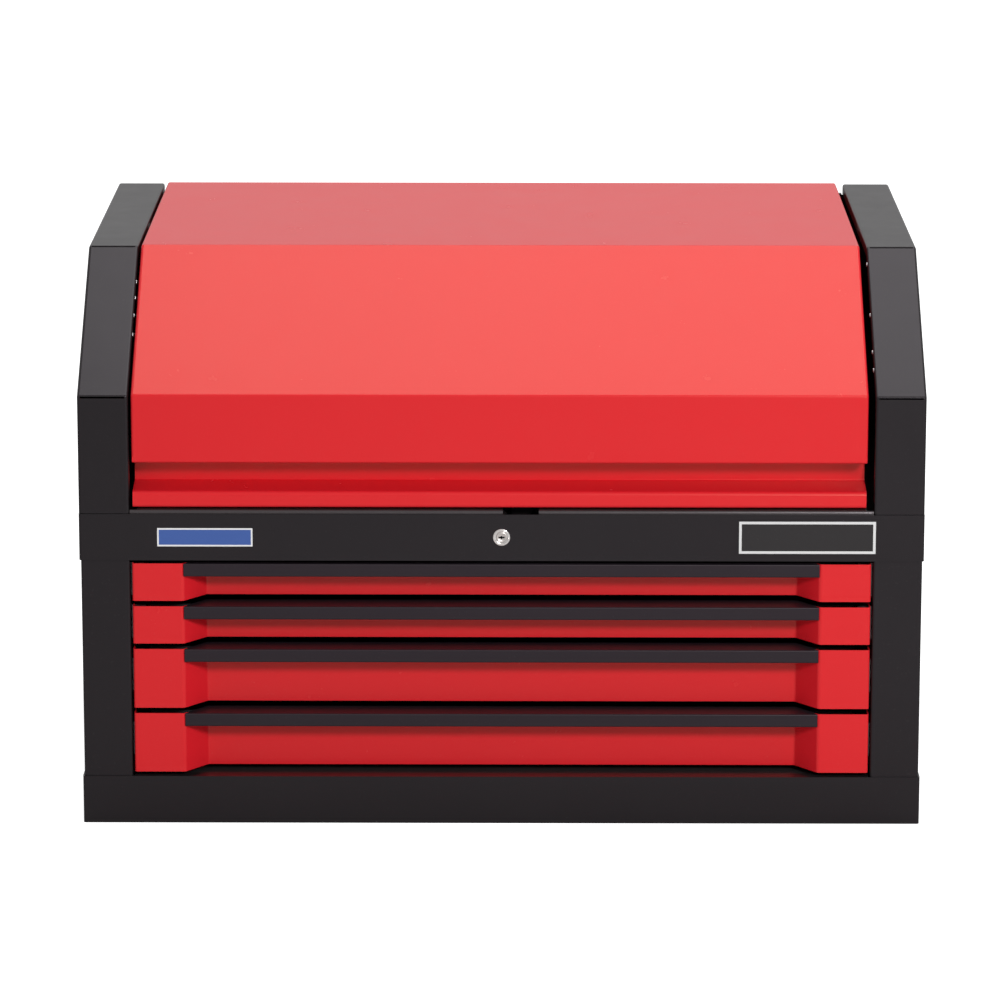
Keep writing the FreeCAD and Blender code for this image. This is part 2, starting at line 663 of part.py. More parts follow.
def build_case_leaf(rivet_places):
    """Hinge leaf on the back wall with the pin's tight knuckles."""
    half = HINGE_HALF
    leaf_top = HINGE_LEVEL - KNUCKLE_RADIUS - KNUCKLE_GAP
    rear = CASE_DEPTH + HINGE_LEAF
    parts = [block(-half, half, CASE_DEPTH, rear, leaf_top - CASE_LEAF_HEIGHT, leaf_top)]
    for x0, x1 in knuckle_spans(0):
        parts.append(block(x0, x1, CASE_DEPTH, rear, leaf_top - CUT, HINGE_LEVEL))
        parts.append(round_along_x(KNUCKLE_RADIUS, x0, x1, HINGE_DEPTH, HINGE_LEVEL))
    bore = round_along_x(HINGE_PIN_RADIUS, -half - CUT, half + CUT, HINGE_DEPTH, HINGE_LEVEL)
    holes = [round_along_depth(RIVET_RADIUS, CASE_DEPTH - CUT, rear + CUT, x, z) for x, z in rivet_places]
    return joined(parts).cut([bore] + holes)


def build_lid_leaf():
    """Hinge leaf under the lid's top with knuckles that turn on the pin."""
    half = HINGE_HALF
    leaf_top = LID_TOP - SHEET
    leaf_rear = HINGE_DEPTH - KNUCKLE_RADIUS - KNUCKLE_GAP
    parts = [block(-half, half, leaf_rear - LID_LEAF_DEPTH, leaf_rear, leaf_top - HINGE_LEAF, leaf_top)]
    for x0, x1 in knuckle_spans(1):
        parts.append(block(x0, x1, leaf_rear - CUT, HINGE_DEPTH, leaf_top - HINGE_LEAF, leaf_top))
        parts.append(round_along_x(KNUCKLE_RADIUS, x0, x1, HINGE_DEPTH, HINGE_LEVEL))
    bore = round_along_x(HINGE_PIN_RADIUS + RUNNING_CLEARANCE, -half - CUT, half + CUT, HINGE_DEPTH, HINGE_LEVEL)
    return joined(parts).cut(bore)


def build_hinge_pin():
    """Long pin with a peened head at each end."""
    half = HINGE_HALF
    pin = round_along_x(HINGE_PIN_RADIUS, -half, half, HINGE_DEPTH, HINGE_LEVEL)
    head = round_along_x(PIN_HEAD_RADIUS, half, half + PIN_HEAD_LENGTH, HINGE_DEPTH, HINGE_LEVEL)
    return joined([pin, head, mirrored(head)])


def build_hinge_rivets(rivet_places):
    """Rivets that hold the case leaf to the back wall."""
    rear = CASE_DEPTH + HINGE_LEAF
    rivets = [rivet_along_depth(RIVET_RADIUS, RIVET_HEAD_RADIUS, RIVET_HEAD_HEIGHT,
                                BACK_INNER, rear, x, z, False) for x, z in rivet_places]
    return Part.makeCompound(rivets)


def hook_rivet_places():
    """Where the rivets of the lid hook sit on the lid's hem, as (x, z)."""
    middle = HOOK_LEFT + HOOK_WIDTH / 2
    level = LIP_BOTTOM + HEM_HEIGHT - HOOK_RIVET_DROP
    return [(middle + side * HOOK_RIVET_SPACING / 2, level) for side in (-1, 1)]


def build_lid_shell():
    """Lid: face, slope and top with turned-down sides, and the grip and lip along its front."""
    beyond_left, beyond_right = LID_LEFT - CUT, LID_RIGHT + CUT
    outer = rounded_hood(0, 0, CASE_DEPTH, FACE_BOTTOM, LID_LEFT, LID_RIGHT, CREASE_RADIUS)
    inner = rounded_hood(0, SHEET, CASE_DEPTH + CUT, FACE_BOTTOM - CUT, LID_LEFT + SHEET,
                         LID_RIGHT - SHEET, CREASE_RADIUS - SHEET)
    mouth = side_prism(hood_outline(0, LID_FLANGE, CASE_DEPTH + CUT, FACE_BOTTOM - CUT), beyond_left, beyond_right)
    behind = block(beyond_left, beyond_right, CASE_DEPTH - LID_FLANGE_REAR_CUT, CASE_DEPTH + CUT,
                   FACE_BOTTOM - CUT, LID_TOP - SHEET)
    shell = outer.cut([inner, mouth, behind])
    face = HOOD_SETBACK
    wall = face + GRIP_DEPTH
    hem = face + HEM_DEPTH
    skin = [
        (face, FACE_BOTTOM + CUT),
        (face, FACE_BOTTOM),
        (wall, FACE_BOTTOM + GRIP_ROOF_RISE),
        (wall, LIP_TOP + LEDGE_FALL),
        (face, LIP_TOP),
        (face, LIP_BOTTOM),
        (hem, LIP_BOTTOM),
        (hem, LIP_BOTTOM + HEM_HEIGHT),
    ]
    bends = {skin.index((face, LIP_TOP)): LIP_TOP_RADIUS, skin.index((face, LIP_BOTTOM)): LIP_BOTTOM_RADIUS}
    grip = cross_sheet(skin, SHEET, LID_LEFT + GRIP_SIDE_INSET, LID_RIGHT - GRIP_SIDE_INSET, bends)
    corner_below_bend = block(beyond_left, beyond_right, face - CUT, face + CUT,
                              FACE_BOTTOM - CUT, FACE_BOTTOM + SHEET + BEND_RADIUS)
    stud_holes = [round_along_x(STUD_RADIUS, side - CUT, side + CUT, *LID_PIVOT) for side in (LID_LEFT, LID_RIGHT)]
    rivet_holes = [round_along_depth(RIVET_RADIUS, hem - CUT, hem + CUT, x, z) for x, z in hook_rivet_places()]
    lid = joined([shell.cut(corner_below_bend), grip])
    return lid.cut(stud_holes + rivet_holes)


def build_lid_hook():
    """Hook under the lid that drops through the slot and is caught by the lock's cam."""
    plate_front = HOOD_SETBACK + HEM_DEPTH
    plate_rear = plate_front + HOOK_PLATE
    foot_top = LOCK_LEVEL - CAM_WIDTH / 2 - HOOK_CAM_GAP
    x1 = HOOK_LEFT + HOOK_WIDTH
    top = LIP_BOTTOM + HEM_HEIGHT - HOOK_TOP_MARGIN
    skin = [
        (plate_rear - HOOK_FOOT_LENGTH, foot_top - HOOK_PLATE),
        (plate_rear, foot_top - HOOK_PLATE),
        (plate_rear, top),
    ]
    hook = cross_sheet(skin, HOOK_PLATE, HOOK_LEFT, x1)
    holes = [round_along_depth(RIVET_RADIUS, plate_front - CUT, plate_rear + CUT, x, z)
             for x, z in hook_rivet_places()]
    return hook.cut(holes)


def build_hook_rivets():
    """Rivets that hold the hook to the lid's hem."""
    front = HOOD_SETBACK + HEM_DEPTH - SHEET
    rear = HOOD_SETBACK + HEM_DEPTH + HOOK_PLATE
    rivets = [rivet_along_depth(RIVET_RADIUS, RIVET_HEAD_RADIUS, RIVET_HEAD_HEIGHT, front, rear, x, z, False)
              for x, z in hook_rivet_places()]
    return Part.makeCompound(rivets)


def build_lid_bumpers():
    """Rubber buffers on the rail that the lid's hem comes down on."""
    height = LID_REST_GAP - SEAT_CLEARANCE
    foot = Part.makeCylinder(BUMPER_RADIUS, height, point(BUMPER_PLACE, BUMPER_DEPTH, RAIL_TOP))
    rim = max(foot.Edges, key=lambda edge: edge.CenterOfMass.z)
    return pair(foot.makeFillet(BUMPER_ROUNDING, [rim]))


def build_lock():
    """Lock housing, its nut, the turning plug, the cam on the plug's tail and the cam's screw."""
    flange = round_along_depth(LOCK_FLANGE_RADIUS, -LOCK_FLANGE_PROUD, 0, 0, LOCK_LEVEL)
    rim = [edge for edge in flange.Edges if edge.CenterOfMass.y < FRONT_Y - LOCK_FLANGE_PROUD / 2]
    flange = flange.makeFillet(LOCK_FLANGE_ROUNDING, [edge for edge in rim if edge.Closed])
    barrel = round_along_depth(LOCK_BARREL_RADIUS, 0, LOCK_BARREL_LENGTH, 0, LOCK_LEVEL)
    bore = round_along_depth(PLUG_RADIUS + RUNNING_CLEARANCE, -LOCK_FLANGE_PROUD - CUT,
                             LOCK_BARREL_LENGTH + CUT, 0, LOCK_LEVEL)
    housing = joined([flange, barrel]).cut(bore)

    nut_front = COLUMN_FACE + SHEET
    corner_radius = LOCK_NUT_ACROSS_FLATS / 2 / math.cos(math.pi / LOCK_NUT_SIDES)
    corners = []
    for side in range(LOCK_NUT_SIDES):
        angle = 2 * math.pi * side / LOCK_NUT_SIDES
        corners.append(point(corner_radius * math.sin(angle), nut_front, LOCK_LEVEL + corner_radius * math.cos(angle)))
    nut = Part.Face(Part.makePolygon(corners + corners[:1])).extrude(FreeCAD.Vector(0, LOCK_NUT_THICKNESS, 0))
    nut = nut.cut(barrel)

    plug_front = PLUG_RECESS - LOCK_FLANGE_PROUD
    cam_front = LOCK_BARREL_LENGTH + CAM_START_GAP
    cam_rear = cam_front + CAM_THICKNESS
    core = round_along_depth(PLUG_RADIUS, plug_front, cam_front, 0, LOCK_LEVEL)
    keyway = block(-KEYWAY_WIDTH / 2, KEYWAY_WIDTH / 2, plug_front - CUT, plug_front + KEYWAY_DEPTH,
                   LOCK_LEVEL - KEYWAY_HEIGHT / 2, LOCK_LEVEL + KEYWAY_HEIGHT / 2)
    tail_half = TAIL_WIDTH / 2
    tail = block(-tail_half, tail_half, cam_front - SHEET, cam_rear,
                 LOCK_LEVEL - tail_half, LOCK_LEVEL + tail_half)
    screw_shank = round_along_depth(CAM_SCREW_RADIUS, cam_rear - CAM_SCREW_LENGTH, cam_rear, 0, LOCK_LEVEL)
    plug = joined([core, tail]).cut([keyway, screw_shank])

    hub = round_along_depth(CAM_HUB_RADIUS, cam_front, cam_rear, 0, LOCK_LEVEL)
    arm = block(-CAM_WIDTH / 2, CAM_WIDTH / 2, cam_front, cam_rear,
                LOCK_LEVEL, LOCK_LEVEL + CAM_LENGTH - CAM_WIDTH / 2)
    tip = round_along_depth(CAM_WIDTH / 2, cam_front, cam_rear, 0, LOCK_LEVEL + CAM_LENGTH - CAM_WIDTH / 2)
    cam = joined([hub, arm, tip]).cut(tail)

    head = round_along_depth(CAM_SCREW_HEAD_RADIUS, cam_rear, cam_rear + CAM_SCREW_HEAD_HEIGHT, 0, LOCK_LEVEL)
    slot = block(-CUT, CUT, cam_rear + CAM_SCREW_HEAD_HEIGHT / 2, cam_rear + CUT,
                 LOCK_LEVEL - KEYWAY_HEIGHT / 2, LOCK_LEVEL + KEYWAY_HEIGHT / 2)
    screw = joined([screw_shank, head]).cut(slot)
    return {
        "lock_housing": housing,
        "lock_nut": nut,
        "lock_plug": plug,
        "lock_cam": cam,
        "cam_screw": screw,
    }


def strut_placed(shape, pivot):
    """A strut piece drawn upwards from its pivot, set along the closed strut."""
    lean = math.degrees(math.atan2(CASE_PIVOT[0] - LID_PIVOT[0], LID_PIVOT[1] - CASE_PIVOT[1]))
    placed = shape.copy()
    placed.rotate(FreeCAD.Vector(0, 0, 0), FreeCAD.Vector(1, 0, 0), lean)
    placed.translate(point(STRUT_PLACE, *pivot))
    return placed


def upright_round(radius, z0, z1):
    """A cylinder on the strut's own axis."""
    return Part.makeCylinder(radius, z1 - z0, FreeCAD.Vector(0, 0, z0))


def eye_disc(radius, width):
    """A short cylinder across the strut at its pivot."""
    return Part.makeCylinder(radius, width, FreeCAD.Vector(-width / 2, 0, 0), FreeCAD.Vector(1, 0, 0))


def build_strut_cylinder():
    """Right strut's tube with its floor, gland and eye."""
    tube_start = NECK_LENGTH
    tube_end = STRUT_LENGTH - ROD_SHOWING
    body = joined([eye_disc(EYE_RADIUS, EYE_WIDTH), upright_round(NECK_RADIUS, 0, tube_start + SHEET),
                   upright_round(TUBE_RADIUS, tube_start, tube_end)])
    rims = [edge for edge in body.Edges
            if edge.Closed and edge.BoundBox.XLength > 2 * TUBE_RADIUS - SHEET
            and min(abs(edge.CenterOfMass.z - end) for end in (tube_start, tube_end)) < SHEET / 2]
    body = body.makeFillet(TUBE_ROUNDING, rims)
    hollow = upright_round(TUBE_RADIUS - TUBE_WALL, tube_start + TUBE_FLOOR, tube_end - GLAND_LENGTH)
    gland = upright_round(ROD_RADIUS + RUNNING_CLEARANCE, tube_end - GLAND_LENGTH - CUT, tube_end + CUT)
    bore = eye_disc(STUD_RADIUS + RUNNING_CLEARANCE, EYE_WIDTH + CUT)
    return strut_placed(body.cut([hollow, gland, bore]), CASE_PIVOT)


def build_strut_rod():
    """Right strut's rod with its piston, collar and eye; drawn downwards from the lid pivot."""
    piston_end = NECK_LENGTH + TUBE_FLOOR + PISTON_FLOOR_GAP - STRUT_LENGTH
    piston_radius = TUBE_RADIUS - TUBE_WALL - RUNNING_CLEARANCE
    body = joined([eye_disc(EYE_RADIUS, EYE_WIDTH), upright_round(NECK_RADIUS, -ROD_COLLAR_LENGTH, 0),
                   upright_round(ROD_RADIUS, piston_end, 0),
                   upright_round(piston_radius, piston_end, piston_end + PISTON_LENGTH)])
    bore = eye_disc(STUD_RADIUS + RUNNING_CLEARANCE, EYE_WIDTH + CUT)
    return strut_placed(body.cut(bore), LID_PIVOT)


def build_stud(mount_face, pivot):
    """A pivot stud from the face that carries it, through a strut's eye, to its head."""
    eye_outer = STRUT_PLACE + EYE_WIDTH / 2
    eye_inner = STRUT_PLACE - EYE_WIDTH / 2
    shank = round_along_x(STUD_RADIUS, eye_inner - STUD_GAP - STUD_HEAD_LENGTH, mount_face, *pivot)
    collar = round_along_x(STUD_COLLAR_RADIUS, eye_outer + STUD_GAP, mount_face, *pivot)
    head = round_along_x(STUD_HEAD_RADIUS, eye_inner - STUD_GAP - STUD_HEAD_LENGTH, eye_inner - STUD_GAP, *pivot)
    rim = min(head.Edges, key=lambda edge: edge.CenterOfMass.x)
    head = head.makeFillet(STUD_GAP, [rim])
    return [shank, collar, head]


def build_strut_brackets():
    """Brackets on the back wall that carry the studs of the strut cylinders."""
    face = STRUT_PLACE + TUBE_RADIUS + BRACKET_TUBE_GAP
    depth, level = CASE_PIVOT
    plate = block(face, face + BRACKET_SHEET, depth - BRACKET_MARGIN, BACK_INNER,
                  level - BRACKET_MARGIN, level + BRACKET_MARGIN)
    nose = [edge for edge in plate.Edges
            if abs(edge.CenterOfMass.y - (FRONT_Y + depth - BRACKET_MARGIN)) < SHEET / 2
            and abs(edge.Vertexes[0].X - edge.Vertexes[-1].X) > SHEET]
    plate = plate.makeFillet(BRACKET_NOSE_RADIUS, nose)
    foot = block(face, face + BRACKET_FOOT, BACK_INNER - BRACKET_SHEET, BACK_INNER,
                 level - BRACKET_MARGIN, level + BRACKET_MARGIN)
    return pair(joined([plate, foot] + build_stud(face, CASE_PIVOT)))


def build_lid_studs():
    """Studs riveted to the lid's turned-down sides for the strut rods."""
    studs = []
    for lid_side in (LID_RIGHT, -LID_LEFT):
        through = round_along_x(STUD_RADIUS, lid_side - SHEET, lid_side, *LID_PIVOT)
        outside = round_along_x(STUD_COLLAR_RADIUS, lid_side, lid_side + SHEET, *LID_PIVOT)
        studs.append(joined(build_stud(lid_side - SHEET, LID_PIVOT) + [through, outside]))
    right, left = studs
    return Part.makeCompound([right, mirrored(left)])


def build_drawer_front(bottom, top):
    """Drawer front: two end panels joined by a recessed wall with angled ends that the pull lies on."""
    skin = [
        (-FRONT_HALF, COLUMN_FACE + FRONT_RETURN),
        (-FRONT_HALF, COLUMN_FACE),
        (-RECESS_MOUTH_HALF, COLUMN_FACE),
        (-RECESS_FLOOR_HALF, RECESS_WALL),
        (RECESS_FLOOR_HALF, RECESS_WALL),
        (RECESS_MOUTH_HALF, COLUMN_FACE),
        (FRONT_HALF, COLUMN_FACE),
        (FRONT_HALF, COLUMN_FACE + FRONT_RETURN),
    ]
    recess = {index: RECESS_BEND_RADIUS for index, (x, depth) in enumerate(skin)
              if abs(x) in (RECESS_MOUTH_HALF, RECESS_FLOOR_HALF)}
    wall = upright_sheet(skin, SHEET, bottom, top, recess)
    inside = COLUMN_FACE + SHEET / 2
    edge_return = block(RECESS_MOUTH_HALF + SHEET + RECESS_BEND_RADIUS, FRONT_HALF - SHEET / 2, inside,
                        COLUMN_FACE + FRONT_EDGE_RETURN, bottom, bottom + SHEET)
    parts = [wall, edge_return, mirrored(edge_return)]
    flange_half = RECESS_FLOOR_HALF - SHEET
    flange_top = top - PULL_TOP_SHEET
    pull_rear = PULL_SETBACK + PULL_THICKNESS
    parts.append(block(-flange_half, flange_half, pull_rear, RECESS_WALL + SHEET / 2,
                       flange_top - SHEET, flange_top))
    parts.append(block(-flange_half, flange_half, RECESS_WALL + SHEET / 2, BOX_FRONT + FRONT_FOOT_DEPTH,
                       bottom, bottom + SHEET))
    seat = block(-RECESS_MOUTH_HALF, RECESS_MOUTH_HALF, PULL_SEAT_START - PULL_END_GAP, BOX_FRONT + CUT,
                 flange_top, top + CUT)
    return joined(parts).cut(seat)


def build_drawer_pull(top):
    """Pull: a bar along the recess whose top sheet covers its walls and clasps the front's top flange."""
    front = PULL_SETBACK
    rear = front + PULL_THICKNESS
    bar = block(-PULL_HALF, PULL_HALF, front, rear, top - PULL_HEIGHT, top)
    front_edges = [edge for edge in bar.Edges
                   if edge.CenterOfMass.y < FRONT_Y + front + SHEET / 4 and abs(edge.CenterOfMass.x) < SHEET]
    bar = bar.makeFillet(PULL_ROUNDING, front_edges)
    curl = block(-PULL_HALF, PULL_HALF, rear - SHEET, rear + PULL_CURL, top - PULL_HEIGHT,
                 top - PULL_HEIGHT + PULL_HOOK_THICKNESS)
    curl_edge = [edge for edge in curl.Edges
                 if edge.CenterOfMass.y > FRONT_Y + rear + PULL_CURL - SHEET / 4
                 and abs(edge.CenterOfMass.x) < SHEET]
    curl = curl.makeFillet(PULL_CURL_ROUNDING, curl_edge)
    cover = block(-PULL_HALF, PULL_HALF, rear - SHEET, RECESS_WALL - PULL_END_GAP, top - PULL_TOP_SHEET, top)
    hook_top = top - PULL_TOP_SHEET - SHEET
    hook = block(-PULL_HALF, PULL_HALF, rear - SHEET, rear + PULL_HOOK_DEPTH,
                 hook_top - PULL_HOOK_THICKNESS, hook_top)
    recess_end = [(RECESS_MOUTH_HALF, COLUMN_FACE), (RECESS_FLOOR_HALF, RECESS_WALL)]
    near, far = offset_path(recess_end, PULL_END_GAP)
    beyond = PULL_HALF + CUT
    wedge = plan_prism([near, far, (beyond, far[1]), (beyond, near[1])], top - PULL_HEIGHT - CUT, top + CUT)
    pull = joined([bar, curl, cover, hook]).cut([wedge, mirrored(wedge)])
    near, far = offset_path(recess_end, -SHEET)
    rise = (far[1] - near[1]) / (near[0] - far[0])
    seat_half = near[0] - (PULL_SEAT_START - near[1]) / rise
    rear_half = near[0] - (BOX_FRONT - near[1]) / rise
    seat = plan_prism([(-seat_half, PULL_SEAT_START), (seat_half, PULL_SEAT_START),
                       (rear_half, BOX_FRONT), (-rear_half, BOX_FRONT)], top - PULL_TOP_SHEET, top)
    return joined([pull, seat])


def build_drawer_box(bottom, top):
    """Open tray behind the front, with rounded corners and a folded hem round its rim."""
    def tray(inset, low, high, radius):
        solid = block(inset - BOX_HALF, BOX_HALF - inset, BOX_FRONT + inset, BOX_REAR - inset, low, high)
        uprights = [edge for edge in solid.Edges
                    if abs(edge.Vertexes[0].Z - edge.Vertexes[-1].Z) > SHEET]
        return solid.makeFillet(radius, uprights)
    rim = tray(0, top - BOX_HEM_HEIGHT, top, BOX_CORNER_RADIUS)
    body = tray(0, bottom, top, BOX_CORNER_RADIUS)
    inside = tray(SHEET, bottom + SHEET, top + CUT, BOX_CORNER_RADIUS - SHEET)
    hem_inset = SHEET + BOX_HEM_THICKNESS
    rim_inside = tray(hem_inset, top - BOX_HEM_HEIGHT - CUT, top + CUT, BOX_CORNER_RADIUS - SHEET)
    return joined([body.cut(inside), rim.cut(rim_inside)])


def slide_channel(web_face, opens, height, flange, depth0, depth1, middle):
    """A right-hand channel of slide metal; it opens outwards (1) or inwards (-1) from its web."""
    far = web_face + opens * flange
    near = web_face + opens * SLIDE_SHEET
    low, high = middle - height / 2, middle + height / 2
    body = block(min(web_face, far), max(web_face, far), depth0, depth1, low, high)
    hollow = block(min(near, far + opens * CUT), max(near, far + opens * CUT), depth0 - CUT, depth1 + CUT,
                   low + SLIDE_SHEET, high - SLIDE_SHEET)
    return body.cut(hollow)


def build_slides(middle):
    """Fixed rail, drawer runner and ball cage with balls for the right side of one drawer."""
    rail = slide_channel(OPENING_HALF, -1, RAIL_HEIGHT, SLIDE_SHEET + RAIL_FLANGE,
                         RAIL_START, RAIL_END, middle)
    race = RAIL_HEIGHT / 2 - SLIDE_SHEET
    runner_height = 2 * (race - 2 * (BALL_RADIUS + RUNNING_CLEARANCE))
    runner = slide_channel(BOX_HALF, 1, runner_height, SLIDE_SHEET + RUNNER_FLANGE,
                           BOX_FRONT + RUNNER_INSET, BOX_REAR - RUNNER_INSET, middle)

    ball_level = race - RUNNING_CLEARANCE - BALL_RADIUS
    web_outer = OPENING_HALF - SLIDE_SHEET - CAGE_WEB_GAP
    ball_x = (OPENING_HALF - SLIDE_SHEET - RAIL_FLANGE + BOX_HALF + SLIDE_SHEET + RUNNER_FLANGE) / 2
    half_height = ball_level + CAGE_SHEET / 2
    cage_end = CAGE_START + CAGE_LENGTH
    flange_end = ball_x - CAGE_OVERHANG
    cage = block(flange_end, web_outer, CAGE_START, cage_end, middle - half_height, middle + half_height)
    cage_hollow = block(flange_end - CUT, web_outer - CAGE_SHEET, CAGE_START - CUT, cage_end + CUT,
                        middle - half_height + CAGE_SHEET, middle + half_height - CAGE_SHEET)
    first = (CAGE_START + cage_end - BALL_SPACING * (BALLS_IN_A_ROW - 1)) / 2
    places = [point(ball_x, first + index * BALL_SPACING, middle + side * ball_level)
              for index in range(BALLS_IN_A_ROW) for side in (-1, 1)]
    balls = [Part.makeSphere(BALL_RADIUS, place) for place in places]
    pockets = [Part.makeCylinder(BALL_RADIUS + CAGE_BALL_CLEARANCE, 2 * BALL_RADIUS,
                                 place - FreeCAD.Vector(0, 0, BALL_RADIUS)) for place in places]
    cage = cage.cut([cage_hollow] + pockets)
    return rail, runner, [cage] + balls


def build_drawers():
    """Every drawer's pieces, numbered from the top drawer down."""
    nodes = {}
    top = HEADER_BOTTOM - HEADER_GAP
    for number, height in enumerate(DRAWER_HEIGHTS, start=1):
        bottom = top - height
        name = "drawer_%d" % number
        box_bottom = bottom + SHEET
        box_top = top - BOX_TOP_DROP
        rail, runner, cage = build_slides((box_bottom + box_top) / 2)
        nodes[name + "_front"] = build_drawer_front(bottom, top)
        nodes[name + "_pull"] = build_drawer_pull(top)
        nodes[name + "_box"] = build_drawer_box(box_bottom, box_top)
        nodes[name + "_left_runner"] = mirrored(runner)
        nodes[name + "_right_runner"] = runner
        nodes[name + "_fixed_rails"] = pair(rail)
        nodes[name + "_ball_cages"] = Part.makeCompound(cage + [mirrored(solid) for solid in cage])
        top = bottom - FRONT_GAP
    return nodes


def build_all():
    """Every node of the chest by name."""
    rivet_places = hinge_rivet_places()
    side_panel = build_side_panel()
    left_hood_rivets = hood_rivet_places(LEFT_HOOD_RIVET_PLACES)
    right_hood_rivets = hood_rivet_places(RIGHT_HOOD_RIVET_PLACES)
    hood_rivets = [mirrored(rivet) for rivet in build_hood_rivets(left_hood_rivets)]
    hood_rivets.extend(build_hood_rivets(right_hood_rivets))
    posts = Part.makeCompound([build_post(FRONT_POST_START), build_post(REAR_POST_START)])
    strut_cylinder = build_strut_cylinder()
    strut_rod = build_strut_rod()
    nodes = {
        "left_side_panel": mirrored(side_panel),
        "right_side_panel": side_panel,
        "back_panel": build_back_panel(rivet_places),
        "case_floor": notched_floor(FLOOR_TOP - SHEET, FLOOR_TOP - SHEET - FLOOR_FLANGE, FLOOR_TOP, False),
        "base_band": build_base_band(),
        "header_band": build_header_band(),
        "header_rail": build_header_rail(),
        "till_floor": notched_floor(TILL_FLOOR_BOTTOM, TILL_FLOOR_BOTTOM,
                                    TILL_FLOOR_BOTTOM + SHEET + TILL_FLANGE, True),
        "left_hood_side": mirrored(build_hood_side(left_hood_rivets)),
        "right_hood_side": build_hood_side(right_hood_rivets),
        "hood_rivets": Part.makeCompound(hood_rivets),
        "left_slide_posts": mirrored(posts),
        "right_slide_posts": posts,
        "hinge_case_leaf": build_case_leaf(rivet_places),
        "hinge_pin": build_hinge_pin(),
        "hinge_rivets": build_hinge_rivets(rivet_places),
        "hinge_lid_leaf": build_lid_leaf(),
        "lid_shell": build_lid_shell(),
        "lid_hook": build_lid_hook(),
        "hook_rivets": build_hook_rivets(),
        "lid_bumpers": build_lid_bumpers(),
        "strut_brackets": build_strut_brackets(),
        "strut_lid_studs": build_lid_studs(),
        "left_strut_cylinder": mirrored(strut_cylinder),
        "right_strut_cylinder": strut_cylinder,
        "left_strut_rod": mirrored(strut_rod),
        "right_strut_rod": strut_rod,
    }
    nodes.update(build_lock())
    nodes.update(build_drawers())
    return nodes


def export_all(nodes):
    """Writes one STEP file per node and prints the places that the joints turn about."""
    os.makedirs("parts", exist_ok=True)
    for name, shape in nodes.items():
        shape.exportStep("parts/%s.step" % name)
        print("%-24s %3d solids %12.1f mm3 valid %s" % (name, len(shape.Solids), shape.Volume, shape.isValid()))
    print("lid hinge", tuple(point(0, HINGE_DEPTH, HINGE_LEVEL)))
    print("strut case pivot", tuple(point(STRUT_PLACE, *CASE_PIVOT)))
    print("strut lid pivot", tuple(point(STRUT_PLACE, *LID_PIVOT)))
    print("lock axis", tuple(point(0, 0, LOCK_LEVEL)))
    print("strut closed length %.1f, open angle %.1f, drawer travel %.1f"
          % (STRUT_LENGTH, LID_ANGLE_OPEN, DRAWER_TRAVEL))


export_all(build_all())
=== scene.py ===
"""Looks of a steel top chest for tools: finishes, small pieces, studio and camera."""
import logging
import math
from collections.abc import Callable, Sequence
from dataclasses import dataclass, field
from enum import Enum

import bmesh
import bpy
from mathutils import Euler, Matrix, Vector


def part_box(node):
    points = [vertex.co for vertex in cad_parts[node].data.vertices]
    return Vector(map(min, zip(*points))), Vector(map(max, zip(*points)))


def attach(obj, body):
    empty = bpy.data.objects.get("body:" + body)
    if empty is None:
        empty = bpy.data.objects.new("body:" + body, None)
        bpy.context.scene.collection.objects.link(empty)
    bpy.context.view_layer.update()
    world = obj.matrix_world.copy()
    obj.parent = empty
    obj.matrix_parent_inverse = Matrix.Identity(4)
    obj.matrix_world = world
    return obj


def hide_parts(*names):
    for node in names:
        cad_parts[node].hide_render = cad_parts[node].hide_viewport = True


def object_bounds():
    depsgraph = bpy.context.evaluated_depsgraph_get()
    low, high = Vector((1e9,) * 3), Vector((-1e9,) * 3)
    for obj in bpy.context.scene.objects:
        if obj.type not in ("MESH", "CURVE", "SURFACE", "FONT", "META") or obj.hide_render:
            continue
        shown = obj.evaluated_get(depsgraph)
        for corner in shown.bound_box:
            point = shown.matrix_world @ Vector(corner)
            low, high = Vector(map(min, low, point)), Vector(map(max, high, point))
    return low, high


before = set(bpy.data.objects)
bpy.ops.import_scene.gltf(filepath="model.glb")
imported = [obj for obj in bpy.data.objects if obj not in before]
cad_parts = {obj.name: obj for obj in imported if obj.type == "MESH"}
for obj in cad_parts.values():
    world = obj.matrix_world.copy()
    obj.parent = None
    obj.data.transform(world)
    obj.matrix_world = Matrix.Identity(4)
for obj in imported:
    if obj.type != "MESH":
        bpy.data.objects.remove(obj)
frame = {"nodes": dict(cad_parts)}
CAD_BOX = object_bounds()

log = logging.getLogger("top_chest")

MM = 0.001
Colour = tuple[float, float, float]
WHITE: Colour = (1.0, 1.0, 1.0)
# Width of one column of shader nodes.
NODE_STEP = 190
# Share of a length, or of a normal, that counts as the whole in a test.
NEARLY_ALL = 0.9


class Facing(Enum):
    """Which way a turned or flat piece looks."""

    FRONT = (0.0, -1.0, 0.0)
    UP = (0.0, 0.0, 1.0)

    @property
    def direction(self) -> Vector:
        """Unit vector of this facing."""
        return Vector(self.value)

    @property
    def turn(self) -> tuple[float, float, float]:
        """Rotation that points a primitive's own +Z this way."""
        return (math.pi / 2, 0.0, 0.0) if self is Facing.FRONT else (0.0, 0.0, 0.0)


class Body(Enum):
    """The chest's bodies that new pieces ride on."""

    CASE = "case"
    LOCK = "lock_cylinder"


class Slot(Enum):
    """Material slots of the record that new pieces take their finish from."""

    CHROME = "chrome"
    RUBBER = "rubber"
    PULL = "pull_black"


# Node wiring


